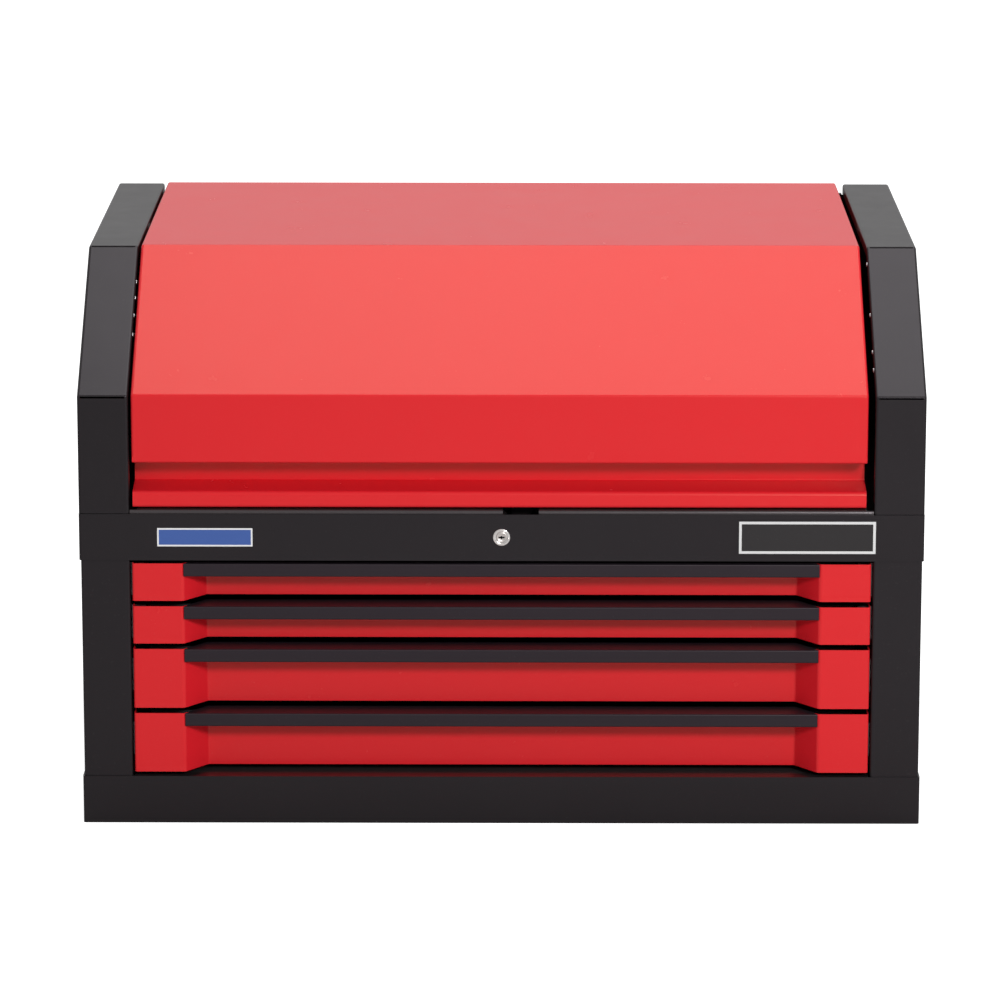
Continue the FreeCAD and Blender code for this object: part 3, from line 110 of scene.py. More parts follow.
class Wiring:
    """Adds and joins shader nodes in one tree."""

    # Numbers of the Mix node's share and two colours among its inputs, and of the mixed colour.
    MIX_INPUTS = (0, 6, 7)
    MIX_OUTPUT = 2

    def __init__(self, tree: bpy.types.NodeTree) -> None:
        """Start with an empty tree.

        Args:
            tree: The material's, world's or group's node tree.
        """
        self.tree = tree
        tree.nodes.clear()
        self.column = 0

    def add(self, kind: str, **settings: object) -> bpy.types.Node:
        """Add a node.

        Args:
            kind: The node's type name.
            settings: Properties to set on the node.

        Returns:
            The new node.
        """
        node = self.tree.nodes.new(kind)
        node.location = (self.column * NODE_STEP, 0)
        self.column += 1
        for name, value in settings.items():
            setattr(node, name, value)
        return node

    def feed(self, socket: bpy.types.NodeSocket, value: object) -> None:
        """Join an output to a socket, or set the socket to a constant.

        Args:
            socket: The input to set.
            value: An output, a colour, or what the socket takes as it is.
        """
        if isinstance(value, bpy.types.NodeSocket):
            self.tree.links.new(value, socket)
        elif isinstance(value, tuple) and len(value) == 3 and socket.type == "RGBA":
            socket.default_value = (*value, 1.0)
        else:
            socket.default_value = value

    def give(self, node: bpy.types.Node, values: dict[str, object]) -> None:
        """Feed several inputs of a node.

        Args:
            node: The node.
            values: What each input takes, by the input's name.
        """
        for label, value in values.items():
            self.feed(node.inputs[label], value)

    def place(self, group: bpy.types.NodeTree, values: dict[str, object]) -> bpy.types.NodeOutputs:
        """Place a shared group.

        Args:
            group: The group.
            values: What each of its inputs takes, by the input's name.

        Returns:
            Its outputs.
        """
        node = self.add("ShaderNodeGroup", node_tree=group)
        self.give(node, values)
        return node.outputs

    def sum(self, kind: str, first: object, second: object = None,
            third: object = None) -> bpy.types.NodeSocket:
        """Work out a number from one, two or three others.

        Args:
            kind: The Math node's operation.
            first: First value or output.
            second: Second value or output, where the operation takes one.
            third: Third value or output, where the operation takes one.

        Returns:
            The result's output.
        """
        node = self.add("ShaderNodeMath", operation=kind)
        for socket, value in zip(node.inputs, (first, second, third)):
            if value is not None:
                self.feed(socket, value)
        return node.outputs[0]

    def blend(self, share: object, first: object, second: object) -> bpy.types.NodeSocket:
        """Mix two colours.

        Args:
            share: How much of the second colour shows.
            first: First colour or output.
            second: Second colour or output.

        Returns:
            The mixed colour's output.
        """
        node = self.add("ShaderNodeMix", data_type="RGBA")
        for number, value in zip(self.MIX_INPUTS, (share, first, second)):
            self.feed(node.inputs[number], value)
        return node.outputs[self.MIX_OUTPUT]

    def noise(self, place: bpy.types.NodeSocket, scale: object, detail: float) -> bpy.types.NodeSocket:
        """A noise pattern's factor.

        Args:
            place: The coordinates that it is drawn on.
            scale: Cells to the metre.
            detail: How many finer layers it has.

        Returns:
            The factor's output.
        """
        node = self.add("ShaderNodeTexNoise")
        self.give(node, {"Vector": place, "Scale": scale, "Detail": detail})
        return node.outputs["Fac"]

    def spread(self, value: bpy.types.NodeSocket, low: float, high: float) -> bpy.types.NodeSocket:
        """Stretch the part of a mask between two values to 0 to 1.

        Args:
            value: The mask.
            low: What becomes 0.
            high: What becomes 1.

        Returns:
            The stretched mask's output.
        """
        node = self.add("ShaderNodeMapRange")
        self.give(node, {"Value": value, "From Min": low, "From Max": high})
        return node.outputs["Result"]


class Effects:
    """Shared node groups, each built once and placed in the finishes that use it.

    Attributes:
        MEAN: What a noise's factor is on average.
        CLOUD: Cells to the metre in the enamel's tone.
        FILM: Cells to the metre in the enamel's gloss.
        SWELL: Cells to the metre of the broad waves under the enamel's peel.
        SWELL_SHARE: How strong those waves are beside the peel.
        BLOOM: Cells to the metre of the stains on metal.
        BLOOM_SHARE: Their part in a metal's grain.
        SPECKS: Cells to the metre of the dust's specks.
        DRIFT: Cells to the metre of the dust's film.
        DRIFT_SHARE: How strong the film is beside the specks.
        DUST_MATT: How much rougher a wholly dusty place is.
    """

    MEAN = 0.5
    CLOUD = 7.0
    FILM = 46.0
    SWELL = 85.0
    SWELL_SHARE = 0.8
    BLOOM = 120.0
    BLOOM_SHARE = 0.4
    SPECKS = 520.0
    DRIFT = 16.0
    DRIFT_SHARE = 0.25
    DUST_MATT = 0.4

    def __init__(self) -> None:
        """Build every group."""
        self.skin = self._enamel_skin()
        self.grain = self._metal_grain()
        self.dust = self._fine_dust()

    @staticmethod
    def _group(name: str, inputs: dict[str, object], *outputs: str) -> tuple[
            bpy.types.NodeTree, Wiring, bpy.types.NodeOutputs, bpy.types.NodeSocket]:
        """Start a group with its sockets.

        Args:
            name: The group's name.
            inputs: Default values by socket name; a tuple is a colour, a Vector a direction.
            outputs: Names of what it puts out.

        Returns:
            The group, the wiring inside it, what it is given, and the piece's own coordinates.
        """
        tree = bpy.data.node_groups.new(name, "ShaderNodeTree")
        kinds = {float: "NodeSocketFloat", tuple: "NodeSocketColor", Vector: "NodeSocketVector"}
        for label, value in inputs.items():
            socket = tree.interface.new_socket(label, in_out="INPUT", socket_type=kinds[type(value)])
            socket.default_value = (*value, 1.0) if isinstance(value, tuple) else value
        for label in outputs:
            kind = kinds[tuple if label == "Color" else float]
            tree.interface.new_socket(label, in_out="OUTPUT", socket_type=kind)
        wires = Wiring(tree)
        given = wires.add("NodeGroupInput").outputs
        return tree, wires, given, wires.add("ShaderNodeTexCoord").outputs["Object"]

    def _swing(self, wires: Wiring, pattern: bpy.types.NodeSocket, change: object,
               middle: object) -> bpy.types.NodeSocket:
        """A value that swings about a middle one with a pattern.

        Args:
            wires: The group's wiring.
            pattern: The pattern's factor.
            change: How far it swings.
            middle: The value at the pattern's mean.

        Returns:
            The value's output.
        """
        return wires.sum("MULTIPLY_ADD", wires.sum("SUBTRACT", pattern, self.MEAN), change, middle)

    def _mottled(self, wires: Wiring, given: bpy.types.NodeOutputs,
                 pattern: bpy.types.NodeSocket) -> bpy.types.NodeSocket:
        """The given colour, a little lighter and darker with a pattern.

        Args:
            wires: The group's wiring.
            given: What the group is given, with a Color and a Mottle.
            pattern: The pattern's factor.

        Returns:
            The colour's output.
        """
        tone = self._swing(wires, pattern, given["Mottle"], 1.0)
        shade = wires.add("ShaderNodeVectorMath", operation="SCALE")
        wires.feed(shade.inputs[0], given["Color"])
        wires.feed(shade.inputs["Scale"], tone)
        return shade.outputs[0]

    def _enamel_skin(self) -> bpy.types.NodeTree:
        """Baked enamel: slightly uneven tone and gloss over a fine orange peel.

        Returns:
            The group.
        """
        tree, wires, given, place = self._group(
            "enamel_skin",
            {"Color": (0.5, 0.5, 0.5), "Gloss": 0.3, "Haze": 0.05, "Mottle": 0.03, "Peel": 700.0},
            "Color", "Roughness", "Height")
        cloud = wires.noise(place, self.CLOUD, detail=3.0)
        film = wires.noise(place, self.FILM, detail=4.0)
        peel = wires.noise(place, given["Peel"], detail=1.0)
        swell = wires.noise(place, self.SWELL, detail=1.0)
        wires.give(wires.add("NodeGroupOutput"), {
            "Color": self._mottled(wires, given, cloud),
            "Roughness": self._swing(wires, film, given["Haze"], given["Gloss"]),
            "Height": wires.sum("MULTIPLY_ADD", swell, self.SWELL_SHARE, peel)})
        return tree

    def _metal_grain(self) -> bpy.types.NodeTree:
        """Bare or plated metal: drawn or crystal grain in tone, gloss and height.

        Returns:
            The group.
        """
        tree, wires, given, place = self._group(
            "metal_grain",
            {"Color": (0.5, 0.5, 0.5), "Gloss": 0.3, "Spread": 0.15, "Mottle": 0.1,
             "Grain": Vector((900.0, 60.0, 900.0))},
            "Color", "Roughness", "Height")
        drawn = wires.add("ShaderNodeVectorMath", operation="MULTIPLY")
        wires.feed(drawn.inputs[0], place)
        wires.feed(drawn.inputs[1], given["Grain"])
        lines = wires.noise(drawn.outputs[0], 1.0, detail=3.0)
        bloom = wires.noise(place, self.BLOOM, detail=3.0)
        fine = wires.sum("MULTIPLY", lines, 1.0 - self.BLOOM_SHARE)
        both = wires.sum("MULTIPLY_ADD", bloom, self.BLOOM_SHARE, fine)
        wires.give(wires.add("NodeGroupOutput"), {
            "Color": self._mottled(wires, given, both),
            "Roughness": self._swing(wires, both, given["Spread"], given["Gloss"]),
            "Height": lines})
        return tree

    def _fine_dust(self) -> bpy.types.NodeTree:
        """Sparse pale specks and a thin film that dulls the gloss where it lies.

        Returns:
            The group.
        """
        tree, wires, given, place = self._group(
            "fine_dust",
            {"Color": (0.5, 0.5, 0.5), "Roughness": 0.3, "Amount": 0.1, "Dust": (0.6, 0.58, 0.55)},
            "Color", "Roughness")
        specks = wires.spread(wires.noise(place, self.SPECKS, detail=0.0), low=0.74, high=0.82)
        film = wires.spread(wires.noise(place, self.DRIFT, detail=4.0), low=0.45, high=0.9)
        both = wires.sum("MULTIPLY_ADD", film, self.DRIFT_SHARE, specks)
        mask = wires.sum("MULTIPLY", both, given["Amount"])
        wires.give(wires.add("NodeGroupOutput"), {
            "Color": wires.blend(mask, given["Color"], given["Dust"]),
            "Roughness": wires.sum("MULTIPLY_ADD", mask, self.DUST_MATT, given["Roughness"])})
        return tree


# Finishes


@dataclass(frozen=True)
class Finish:
    """A finish's own name, tone and gloss, with its dust and its relief.

    Attributes:
        name: The material's name.
        colour: Linear base colour.
        gloss: Mean roughness.
        dust: Amount of dust.
        depth: Depth of the relief in metres.
    """

    name: str
    colour: Colour
    gloss: float
    dust: float = 0.0
    depth: float = 0.0

    def make(self, effects: Effects) -> bpy.types.Material:
        """Build the material: the clean surface, its relief, dust over it, and its shine.

        Args:
            effects: The shared node groups.

        Returns:
            The finished material.
        """
        material = bpy.data.materials.new(self.name)
        material.use_nodes = True
        wires = Wiring(material.node_tree)
        shader = wires.add("ShaderNodeBsdfPrincipled")
        wires.give(wires.add("ShaderNodeOutputMaterial"), {"Surface": shader.outputs[0]})
        clean = self._surface(wires, effects)
        dusty = wires.place(effects.dust, {
            "Color": clean["Color"], "Roughness": clean["Roughness"], "Amount": self.dust})
        relief = wires.add("ShaderNodeBump")
        wires.give(relief, {"Strength": 1.0, "Distance": self.depth, "Height": clean["Height"]})
        wires.give(shader, {"Base Color": dusty["Color"], "Roughness": dusty["Roughness"],
                            "Normal": relief.outputs[0], **self._shine()})
        return material

    def _surface(self, wires: Wiring, effects: Effects) -> bpy.types.NodeOutputs:
        """Place the group that makes the clean surface.

        Args:
            wires: The material's wiring.
            effects: The shared node groups.

        Returns:
            Its colour, roughness and height.
        """
        raise NotImplementedError

    def _shine(self) -> dict[str, object]:
        """What the shader takes besides.

        Returns:
            Values by the names of the shader's inputs.
        """
        raise NotImplementedError


@dataclass(frozen=True)
class Enamel(Finish):
    """Baked enamel on sheet steel.

    Attributes:
        mottle: Change of tone over a hand's breadth.
        haze: Change of gloss over a finger's breadth.
        peel: Orange-peel cells to the metre.
        tint: Tint of its shine.
        index: Index of refraction.
    """

    dust: float = 0.008
    depth: float = 0.000012
    mottle: float = 0.03
    haze: float = 0.06
    peel: float = 650.0
    tint: Colour = WHITE
    index: float = 1.5

    def _surface(self, wires: Wiring, effects: Effects) -> bpy.types.NodeOutputs:
        """Place the enamel's skin."""
        return wires.place(effects.skin, {
            "Color": self.colour, "Gloss": self.gloss, "Haze": self.haze,
            "Mottle": self.mottle, "Peel": self.peel})

    def _shine(self) -> dict[str, object]:
        """The enamel's index and the tint of its shine."""
        return {"IOR": self.index, "Specular Tint": self.tint}


@dataclass(frozen=True)
class Metal(Finish):
    """Plated, ground or drawn metal.

    Attributes:
        grain: Cells to the metre along each axis.
        spread: Change of gloss in the grain.
        mottle: Change of tone in the grain.
    """

    dust: float = 0.03
    depth: float = 0.000004
    grain: tuple[float, float, float] = (500.0, 500.0, 500.0)
    spread: float = 0.15
    mottle: float = 0.12

    def _surface(self, wires: Wiring, effects: Effects) -> bpy.types.NodeOutputs:
        """Place the metal's grain."""
        return wires.place(effects.grain, {
            "Color": self.colour, "Gloss": self.gloss, "Spread": self.spread,
            "Mottle": self.mottle, "Grain": Vector(self.grain)})

    def _shine(self) -> dict[str, object]:
        """Metal through and through."""
        return {"Metallic": 1.0}


@dataclass(frozen=True)
class Moulded(Enamel):
    """Moulded rubber or a printed film: a fine matt grain with little shine.

    Attributes:
        shine: Level of its shine, where 0.5 is plain.
    """

    shine: float = 0.35

    def _shine(self) -> dict[str, object]:
        """The enamel's values, and less shine."""
        return {**super()._shine(), "Specular IOR Level": self.shine}


class FinishRack:
    """Every finish of the chest, made once."""

    def __init__(self, effects: Effects) -> None:
        """Make the materials.

        Args:
            effects: The shared node groups.
        """
        finishes = {
            "red": Enamel("red_enamel", (0.71, 0.0140, 0.0235), 0.26, tint=(1.0, 1.0, 0.75), index=1.37),
            "black": Enamel("black_enamel", (0.0140, 0.0118, 0.0128), 0.30, mottle=0.08,
                            tint=(1.0, 0.92, 1.0), index=1.33),
            "rail": Enamel("rail_enamel", (0.0150, 0.0110, 0.0118), 0.22, mottle=0.08,
                           tint=(1.0, 0.92, 0.96), index=1.75),
            "inner": Enamel("inner_enamel", (0.022, 0.021, 0.022), 0.38, mottle=0.1, dust=0.03),
            "pull": Enamel("pull_black", (0.0145, 0.0102, 0.0140), 0.42, mottle=0.1, peel=1400.0,
                           tint=(1.0, 0.88, 0.94), index=1.38),
            "chrome": Metal("bright_plate", (0.80, 0.765, 0.745), 0.20, grain=(700.0, 700.0, 700.0),
                            mottle=0.08),
            "plug": Metal("worn_plate", (0.64, 0.60, 0.575), 0.36, grain=(900.0, 900.0, 900.0),
                          mottle=0.14),
            # Near-black painted shade for the walls inside the lock's key slot, standing in for the shade
            # deep in the slot.
            "keyway": Enamel("keyway_painted_shade", (0.004, 0.0035, 0.0035), 0.6, mottle=0.2, peel=1800.0),
            "zinc": Metal("zinc_plate", (0.60, 0.61, 0.62), 0.34, grain=(260.0, 260.0, 260.0),
                          mottle=0.3, spread=0.25),
            "slide": Metal("slide_steel", (0.32, 0.32, 0.33), 0.34, grain=(900.0, 24.0, 900.0), mottle=0.2),
            "rod": Metal("ground_rod", (0.74, 0.75, 0.76), 0.12, grain=(1500.0, 1500.0, 1500.0),
                         spread=0.06),
            "strut": Enamel("strut_paint", (0.008, 0.008, 0.009), 0.36, mottle=0.1, peel=900.0),
            "rubber": Moulded("buffer_rubber", (0.014, 0.014, 0.014), 0.72, mottle=0.2, peel=1800.0,
                              depth=0.00004),
            "plate": Enamel("nameplate_field", (0.009, 0.0082, 0.0088), 0.33, mottle=0.08, peel=1500.0,
                            tint=(1.0, 0.94, 0.96)),
            "plate_edge": Metal("nameplate_border", (0.88, 0.88, 0.88), 0.30, grain=(30.0, 900.0, 900.0),
                                mottle=0.08),
            "label": Moulded("label_film", (0.05, 0.11, 0.36), 0.40, mottle=0.05, peel=1500.0),
            "label_edge": Moulded("label_band", (0.80, 0.80, 0.81), 0.40, mottle=0.03, peel=1500.0),
        }
        self.materials = {key: finish.make(effects) for key, finish in finishes.items()}

    def coat(self, piece: bpy.types.Object, *keys: str) -> None:
        """Give a piece its finishes in order.

        Args:
            piece: The object to dress.
            keys: Names in the rack, one per material slot.
        """
        piece.data.materials.clear()
        for key in keys:
            piece.data.materials.append(self.materials[key])


# Bench tools


class Bench:
    """Modelling by hand tools: primitives, edit-mode operators and applied modifiers.

    Attributes:
        SAME: Shares this close to 1 need no resize.
        WELD: Points nearer than this, in metres, are merged.
        CORNER_STEPS: Steps across a rounded corner.
    """

    SAME = 1e-9
    WELD = 0.002 * MM
    CORNER_STEPS = 4

    @staticmethod
    def clear() -> None:
        """Leave nothing selected, in object mode."""
        if bpy.context.object is not None and bpy.context.object.mode != "OBJECT":
            bpy.ops.object.mode_set(mode="OBJECT")
        bpy.ops.object.select_all(action="DESELECT")

    @staticmethod
    def take(piece: bpy.types.Object) -> None:
        """Select one object and make it active."""
        Bench.clear()
        piece.select_set(True)
        bpy.context.view_layer.objects.active = piece

    @staticmethod
    def pick_faces(piece: bpy.types.Object, test: Callable[[Vector, Vector], bool]) -> None:
        """Select the faces of the piece being edited that pass a test.

        Args:
            piece: The object in edit mode.
            test: Says yes or no to a face's centre and normal.
        """
        bpy.ops.mesh.select_mode(type="FACE")
        bpy.ops.mesh.select_all(action="DESELECT")
        for face in bmesh.from_edit_mesh(piece.data).faces:
            if test(piece.matrix_world @ face.calc_center_median(), face.normal):
                face.select_set(True)
        bmesh.update_edit_mesh(piece.data)

    @staticmethod
    def pick_edges(piece: bpy.types.Object, test: Callable[[Vector, Vector], bool]) -> None:
        """Select the edges of the piece being edited that pass a test.

        Args:
            piece: The object in edit mode.
            test: Says yes or no to an edge's two ends.
        """
        bpy.ops.mesh.select_mode(type="EDGE")
        bpy.ops.mesh.select_all(action="DESELECT")
        for edge in bmesh.from_edit_mesh(piece.data).edges:
            first, second = (piece.matrix_world @ vertex.co for vertex in edge.verts)
            if test(first, second):
                edge.select_set(True)
        bmesh.update_edit_mesh(piece.data)

    @staticmethod
    def settle(piece: bpy.types.Object, name: str, smooth_angle: float = 30.0) -> bpy.types.Object:
        """Put the piece's place into its mesh and shade its rounds smooth.

        Args:
            piece: The finished object.
            name: Its name in the scene.
            smooth_angle: Edges sharper than this, in degrees, stay sharp.

        Returns:
            The same object.
        """
        Bench.take(piece)
        bpy.ops.object.transform_apply(location=True, rotation=True, scale=True)
        bpy.ops.object.shade_smooth_by_angle(angle=math.radians(smooth_angle))
        piece.name = name
        piece.data.name = name
        return piece

    @staticmethod
    def lathe(rings: Sequence[tuple[float, float]], centre: Vector, facing: Facing,
              sides: int = 96, closed: bool = False) -> bpy.types.Object:
        """Draw a ring out into a turned shape.

        Args:
            rings: Radius and place along the axis of each step, in metres. A last radius of 0
                ends in a point.
            centre: The place that the steps are measured from.
            facing: The way that the axis points.
            sides: Sides of the ring.
            closed: True where the last ring meets the first.

        Returns:
            The turned object, in object mode.
        """
        along = facing.direction
        Bench.clear()
        radius, reach = rings[0]
        bpy.ops.mesh.primitive_circle_add(
            vertices=sides, radius=radius, fill_type="NOTHING" if closed else "NGON",
            location=centre + along * reach, rotation=facing.turn)
        piece = bpy.context.object
        bpy.ops.object.mode_set(mode="EDIT")
        bpy.ops.mesh.select_mode(type="EDGE")
        bpy.ops.mesh.select_all(action="SELECT")
        if not closed:
            bpy.ops.mesh.region_to_loop()
        for next_radius, next_reach in rings[1:]:
            bpy.ops.mesh.extrude_edges_move(TRANSFORM_OT_translate={"value": along * (next_reach - reach)})
            if next_radius == 0.0:
                bpy.ops.mesh.merge(type="CENTER")
                break
            share = next_radius / radius
            if abs(share - 1.0) > Bench.SAME:
                bpy.ops.transform.resize(
                    value=(share, share, share), center_override=centre + along * next_reach)
            radius, reach = next_radius, next_reach
        bpy.ops.mesh.select_all(action="SELECT")
        bpy.ops.mesh.remove_doubles(threshold=Bench.WELD)
        bpy.ops.mesh.normals_make_consistent(inside=False)
        bpy.ops.object.mode_set(mode="OBJECT")
        return piece

    @staticmethod
    def slab(low: Vector, high: Vector) -> bpy.types.Object:
        """A block between two corners, left in edit mode for shaping.

        Args:
            low: Its lowest corner in metres.
            high: Its highest corner in metres.

        Returns:
            The block in edit mode.
        """
        Bench.clear()
        bpy.ops.mesh.primitive_cube_add(size=1.0, location=(low + high) / 2)
        piece = bpy.context.object
        piece.scale = high - low
        bpy.ops.object.transform_apply(location=True, rotation=True, scale=True)
        bpy.ops.object.mode_set(mode="EDIT")
        return piece

    @staticmethod
    def apply_boolean(piece: bpy.types.Object, cutter: bpy.types.Object) -> None:
        """Cut one object out of another and remove the cutter.

        Args:
            piece: The object that stays.
            cutter: The object that is cut away.
        """
        Bench.take(piece)
        cut = piece.modifiers.new("cut", "BOOLEAN")
        cut.operation = "DIFFERENCE"
        cut.object = cutter
        cut.solver = "EXACT"
        bpy.ops.object.modifier_apply(modifier=cut.name)
        bpy.data.objects.remove(cutter)


def report(piece: bpy.types.Object) -> None:
    """Log a finished piece with its size."""
    size = ", ".join("%.1f" % (side / MM) for side in piece.dimensions)
    log.info("%s: %d faces, %s mm", piece.name, len(piece.data.polygons), size)


# Sub-assemblies


@dataclass
class LockFace:
    """The lock's ring and barrel, and the plug that turns in it.

    Attributes:
        rack: The finishes.
        ring_radius: Outer radius of the ring.
        proud: How far the ring stands out of the band.
        lip_radius: Radius of the edge inside the ring's crown.
        barrel_radius: Outer radius of the threaded barrel.
        plug_radius: Radius of the plug.
        plug_gap: Running gap between plug and bore.
        plug_recess: How far the plug's face sits behind the ring's.
        keyway_width: Width of the key's slot.
        keyway_height: Height of the key's slot.
        keyway_depth: Depth of the key's slot.
        keyway_corner: Radius of its corners.
        ward_width: Width of the short slot across the key's slot.
        ward_height: Its height.
        ward_corner: Radius of its corners.
        rim_round: Round of the plug's rim.
        rim_width: Width of the rim, round and flat, about the plug's face.
        dish: How far the face inside the rim is sunk.
        dish_slope: Width of the slope down to it.
        hub: Radius of the innermost step of the face.
        tail_side: Side of the square tail that holds the cam.
        tail_length: Length of that tail.
        tail_root: How far it reaches into the plug.
        thread_pitch: Pitch of the barrel's thread.
        thread_depth: Depth of the thread.
        thread_start: Where the thread starts behind the band's face.
        centre: Middle of the lock in the band's face.
        rear: The barrel's rear end, measured out of the band.
        tail: The tail's rear end, measured out of the band.
    """

    # Steps of the ring's face in millimetres: outwards, and back from the face.
    DISH_STEPS = ((0.0, 0.65), (0.25, 0.42))
    LIP_STEPS = ((0.0, 0.30), (0.12, 0.08), (0.40, 0.0))
    # Steps of its outer round in millimetres: inwards, and back from the face.
    CROWN_STEPS = ((0.75, 0.05), (0.38, 0.20), (0.12, 0.48), (0.0, 0.85))
    # Share of a round's radius that its middle lies off each face.
    ROUND_MIDDLE = 0.3
    SMOOTH_ANGLE = 40.0

    rack: FinishRack
    ring_radius: float = 7.0 * MM
    proud: float = 1.5 * MM
    lip_radius: float = 5.15 * MM
    barrel_radius: float = 5.6 * MM
    plug_radius: float = 4.3 * MM
    plug_gap: float = 0.05 * MM
    plug_recess: float = 0.4 * MM
    keyway_width: float = 5.0 * MM
    keyway_height: float = 1.3 * MM
    keyway_depth: float = 9.0 * MM
    keyway_corner: float = 0.3 * MM
    ward_width: float = 1.1 * MM
    ward_height: float = 2.47 * MM
    ward_corner: float = 0.15 * MM
    rim_round: float = 0.35 * MM
    rim_width: float = 1.3 * MM
    dish: float = 0.12 * MM
    dish_slope: float = 0.15 * MM
    hub: float = 0.5 * MM
    tail_side: float = 4.0 * MM
    tail_length: float = 2.0 * MM
    tail_root: float = 0.5 * MM
    thread_pitch: float = 1.0 * MM
    thread_depth: float = 0.35 * MM
    thread_start: float = 2.4 * MM
    centre: Vector = field(init=False)
    rear: float = field(init=False)
    tail: float = field(init=False)

    def __post_init__(self) -> None:
        """Read the lock's place from the frame."""
        low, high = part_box("lock_housing")
        self.centre = Vector(((low.x + high.x) / 2, low.y + self.proud, (low.z + high.z) / 2))
        self.rear = self.centre.y - high.y
        self.tail = self.centre.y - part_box("lock_plug")[1].y

    def build(self) -> None:
        """Build the ring and the plug and put them on their bodies."""
        ring = self._ring()
        self.rack.coat(ring, "chrome")
        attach(ring, Body.CASE.value)
        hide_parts("lock_housing")
        report(ring)
        plug = self._plug()
        # The plug's second finish is painted shade on the walls inside its key slot.
        self.rack.coat(plug, "plug", "keyway")
        self._paint_keyway_shade(plug)
        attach(plug, Body.LOCK.value)
        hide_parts("lock_plug")
        report(plug)

    def _ring(self) -> bpy.types.Object:
        """Turn the crowned ring and its hollow, threaded barrel in one piece.

        Returns:
            The ring.
        """
        bore = self.plug_radius + self.plug_gap
        root = self.barrel_radius - self.thread_depth
        rings = [(bore, self.rear)]
        for inner, steps in ((bore, self.DISH_STEPS), (self.lip_radius, self.LIP_STEPS)):
            rings.extend((inner + out * MM, self.proud - back * MM) for out, back in steps)
        rings.extend((self.ring_radius - far * MM, self.proud - back * MM) for far, back in self.CROWN_STEPS)
        rings.extend([(self.ring_radius, 0.0), (self.barrel_radius, 0.0)])
        reach = -self.thread_start
        rings.append((self.barrel_radius, reach))
        while reach - self.thread_pitch > self.rear + self.thread_pitch:
            rings.append((root, reach - self.thread_pitch / 2))
            reach -= self.thread_pitch
            rings.append((self.barrel_radius, reach))
        rings.extend([(root, self.rear), (bore, self.rear)])
        ring = Bench.lathe(rings, self.centre, Facing.FRONT, closed=True)
        return Bench.settle(ring, "lock_ring", self.SMOOTH_ANGLE)

    def _plug(self) -> bpy.types.Object:
        """Make the plug, with a rounded rim, a key slot in its face and a square tail for the cam.

        Returns:
            The plug.
        """
        face = self.proud - self.plug_recess
        floor = face - self.dish
        radius = self.plug_radius
        shoulder = self.tail + self.tail_length
        off = self.rim_round * self.ROUND_MIDDLE
        rings = [
            (radius, shoulder),
            (radius, face - self.rim_round),
            (radius - off, face - off),
            (radius - self.rim_round, face),
            (radius - self.rim_width, face),
            (radius - self.rim_width - self.dish_slope, floor),
            (self.hub, floor),
            (0.0, floor),
        ]
        plug = Bench.lathe(rings, self.centre, Facing.FRONT)
        Bench.take(plug)
        bpy.ops.object.transform_apply(location=True, rotation=True, scale=True)
        self._cut_slot(plug, self.keyway_width / 2, self.keyway_height / 2, self.keyway_corner)
        self._cut_slot(plug, self.ward_width / 2, self.ward_height / 2, self.ward_corner)
        side = self.tail_side / 2
        root = self.centre.y - shoulder - self.tail_root
        tail = Bench.slab(
            Vector((self.centre.x - side, root, self.centre.z - side)),
            Vector((self.centre.x + side, self.centre.y - self.tail, self.centre.z + side)))
        Bench.take(plug)
        tail.select_set(True)
        bpy.ops.object.join()
        return Bench.settle(plug, "lock_plug_face", self.SMOOTH_ANGLE)

    def _paint_keyway_shade(self, plug: bpy.types.Object) -> None:
        """Paint shade on the walls inside the key's slot by giving them the near-black painted-shade finish.

        Args:
            plug: The plug, with its two finishes.
        """
        front = self.centre.y - self.proud + self.plug_recess
        shallow = front + 2 * self.dish
        deep = front + self.keyway_depth + self.dish
        half_wide = self.keyway_width / 2 + self.dish
        for face in plug.data.polygons:
            way = face.center - self.centre
            inside = abs(way.x) < half_wide and abs(way.z) < self.keyway_height
            if inside and shallow < face.center.y < deep:
                face.material_index = 1

    def _cut_slot(self, plug: bpy.types.Object, half_wide: float, half_high: float, corner: float) -> None:
        """Cut a slot with rounded corners into the plug's face.

        Args:
            plug: The plug.
            half_wide: Half the slot's width in metres.
            half_high: Half its height.
            corner: Radius of its corners.
        """
        front = self.centre.y - self.proud + self.plug_recess
        clear = 2 * MM
        cutter = Bench.slab(
            Vector((self.centre.x - half_wide, front - clear, self.centre.z - half_high)),
            Vector((self.centre.x + half_wide, front + self.keyway_depth, self.centre.z + half_high)))
        Bench.pick_edges(cutter, lambda first, second: abs(first.y - second.y) > clear)
        bpy.ops.mesh.bevel(offset=corner, segments=Bench.CORNER_STEPS, affect="EDGES")
        bpy.ops.object.mode_set(mode="OBJECT")
        Bench.apply_boolean(plug, cutter)


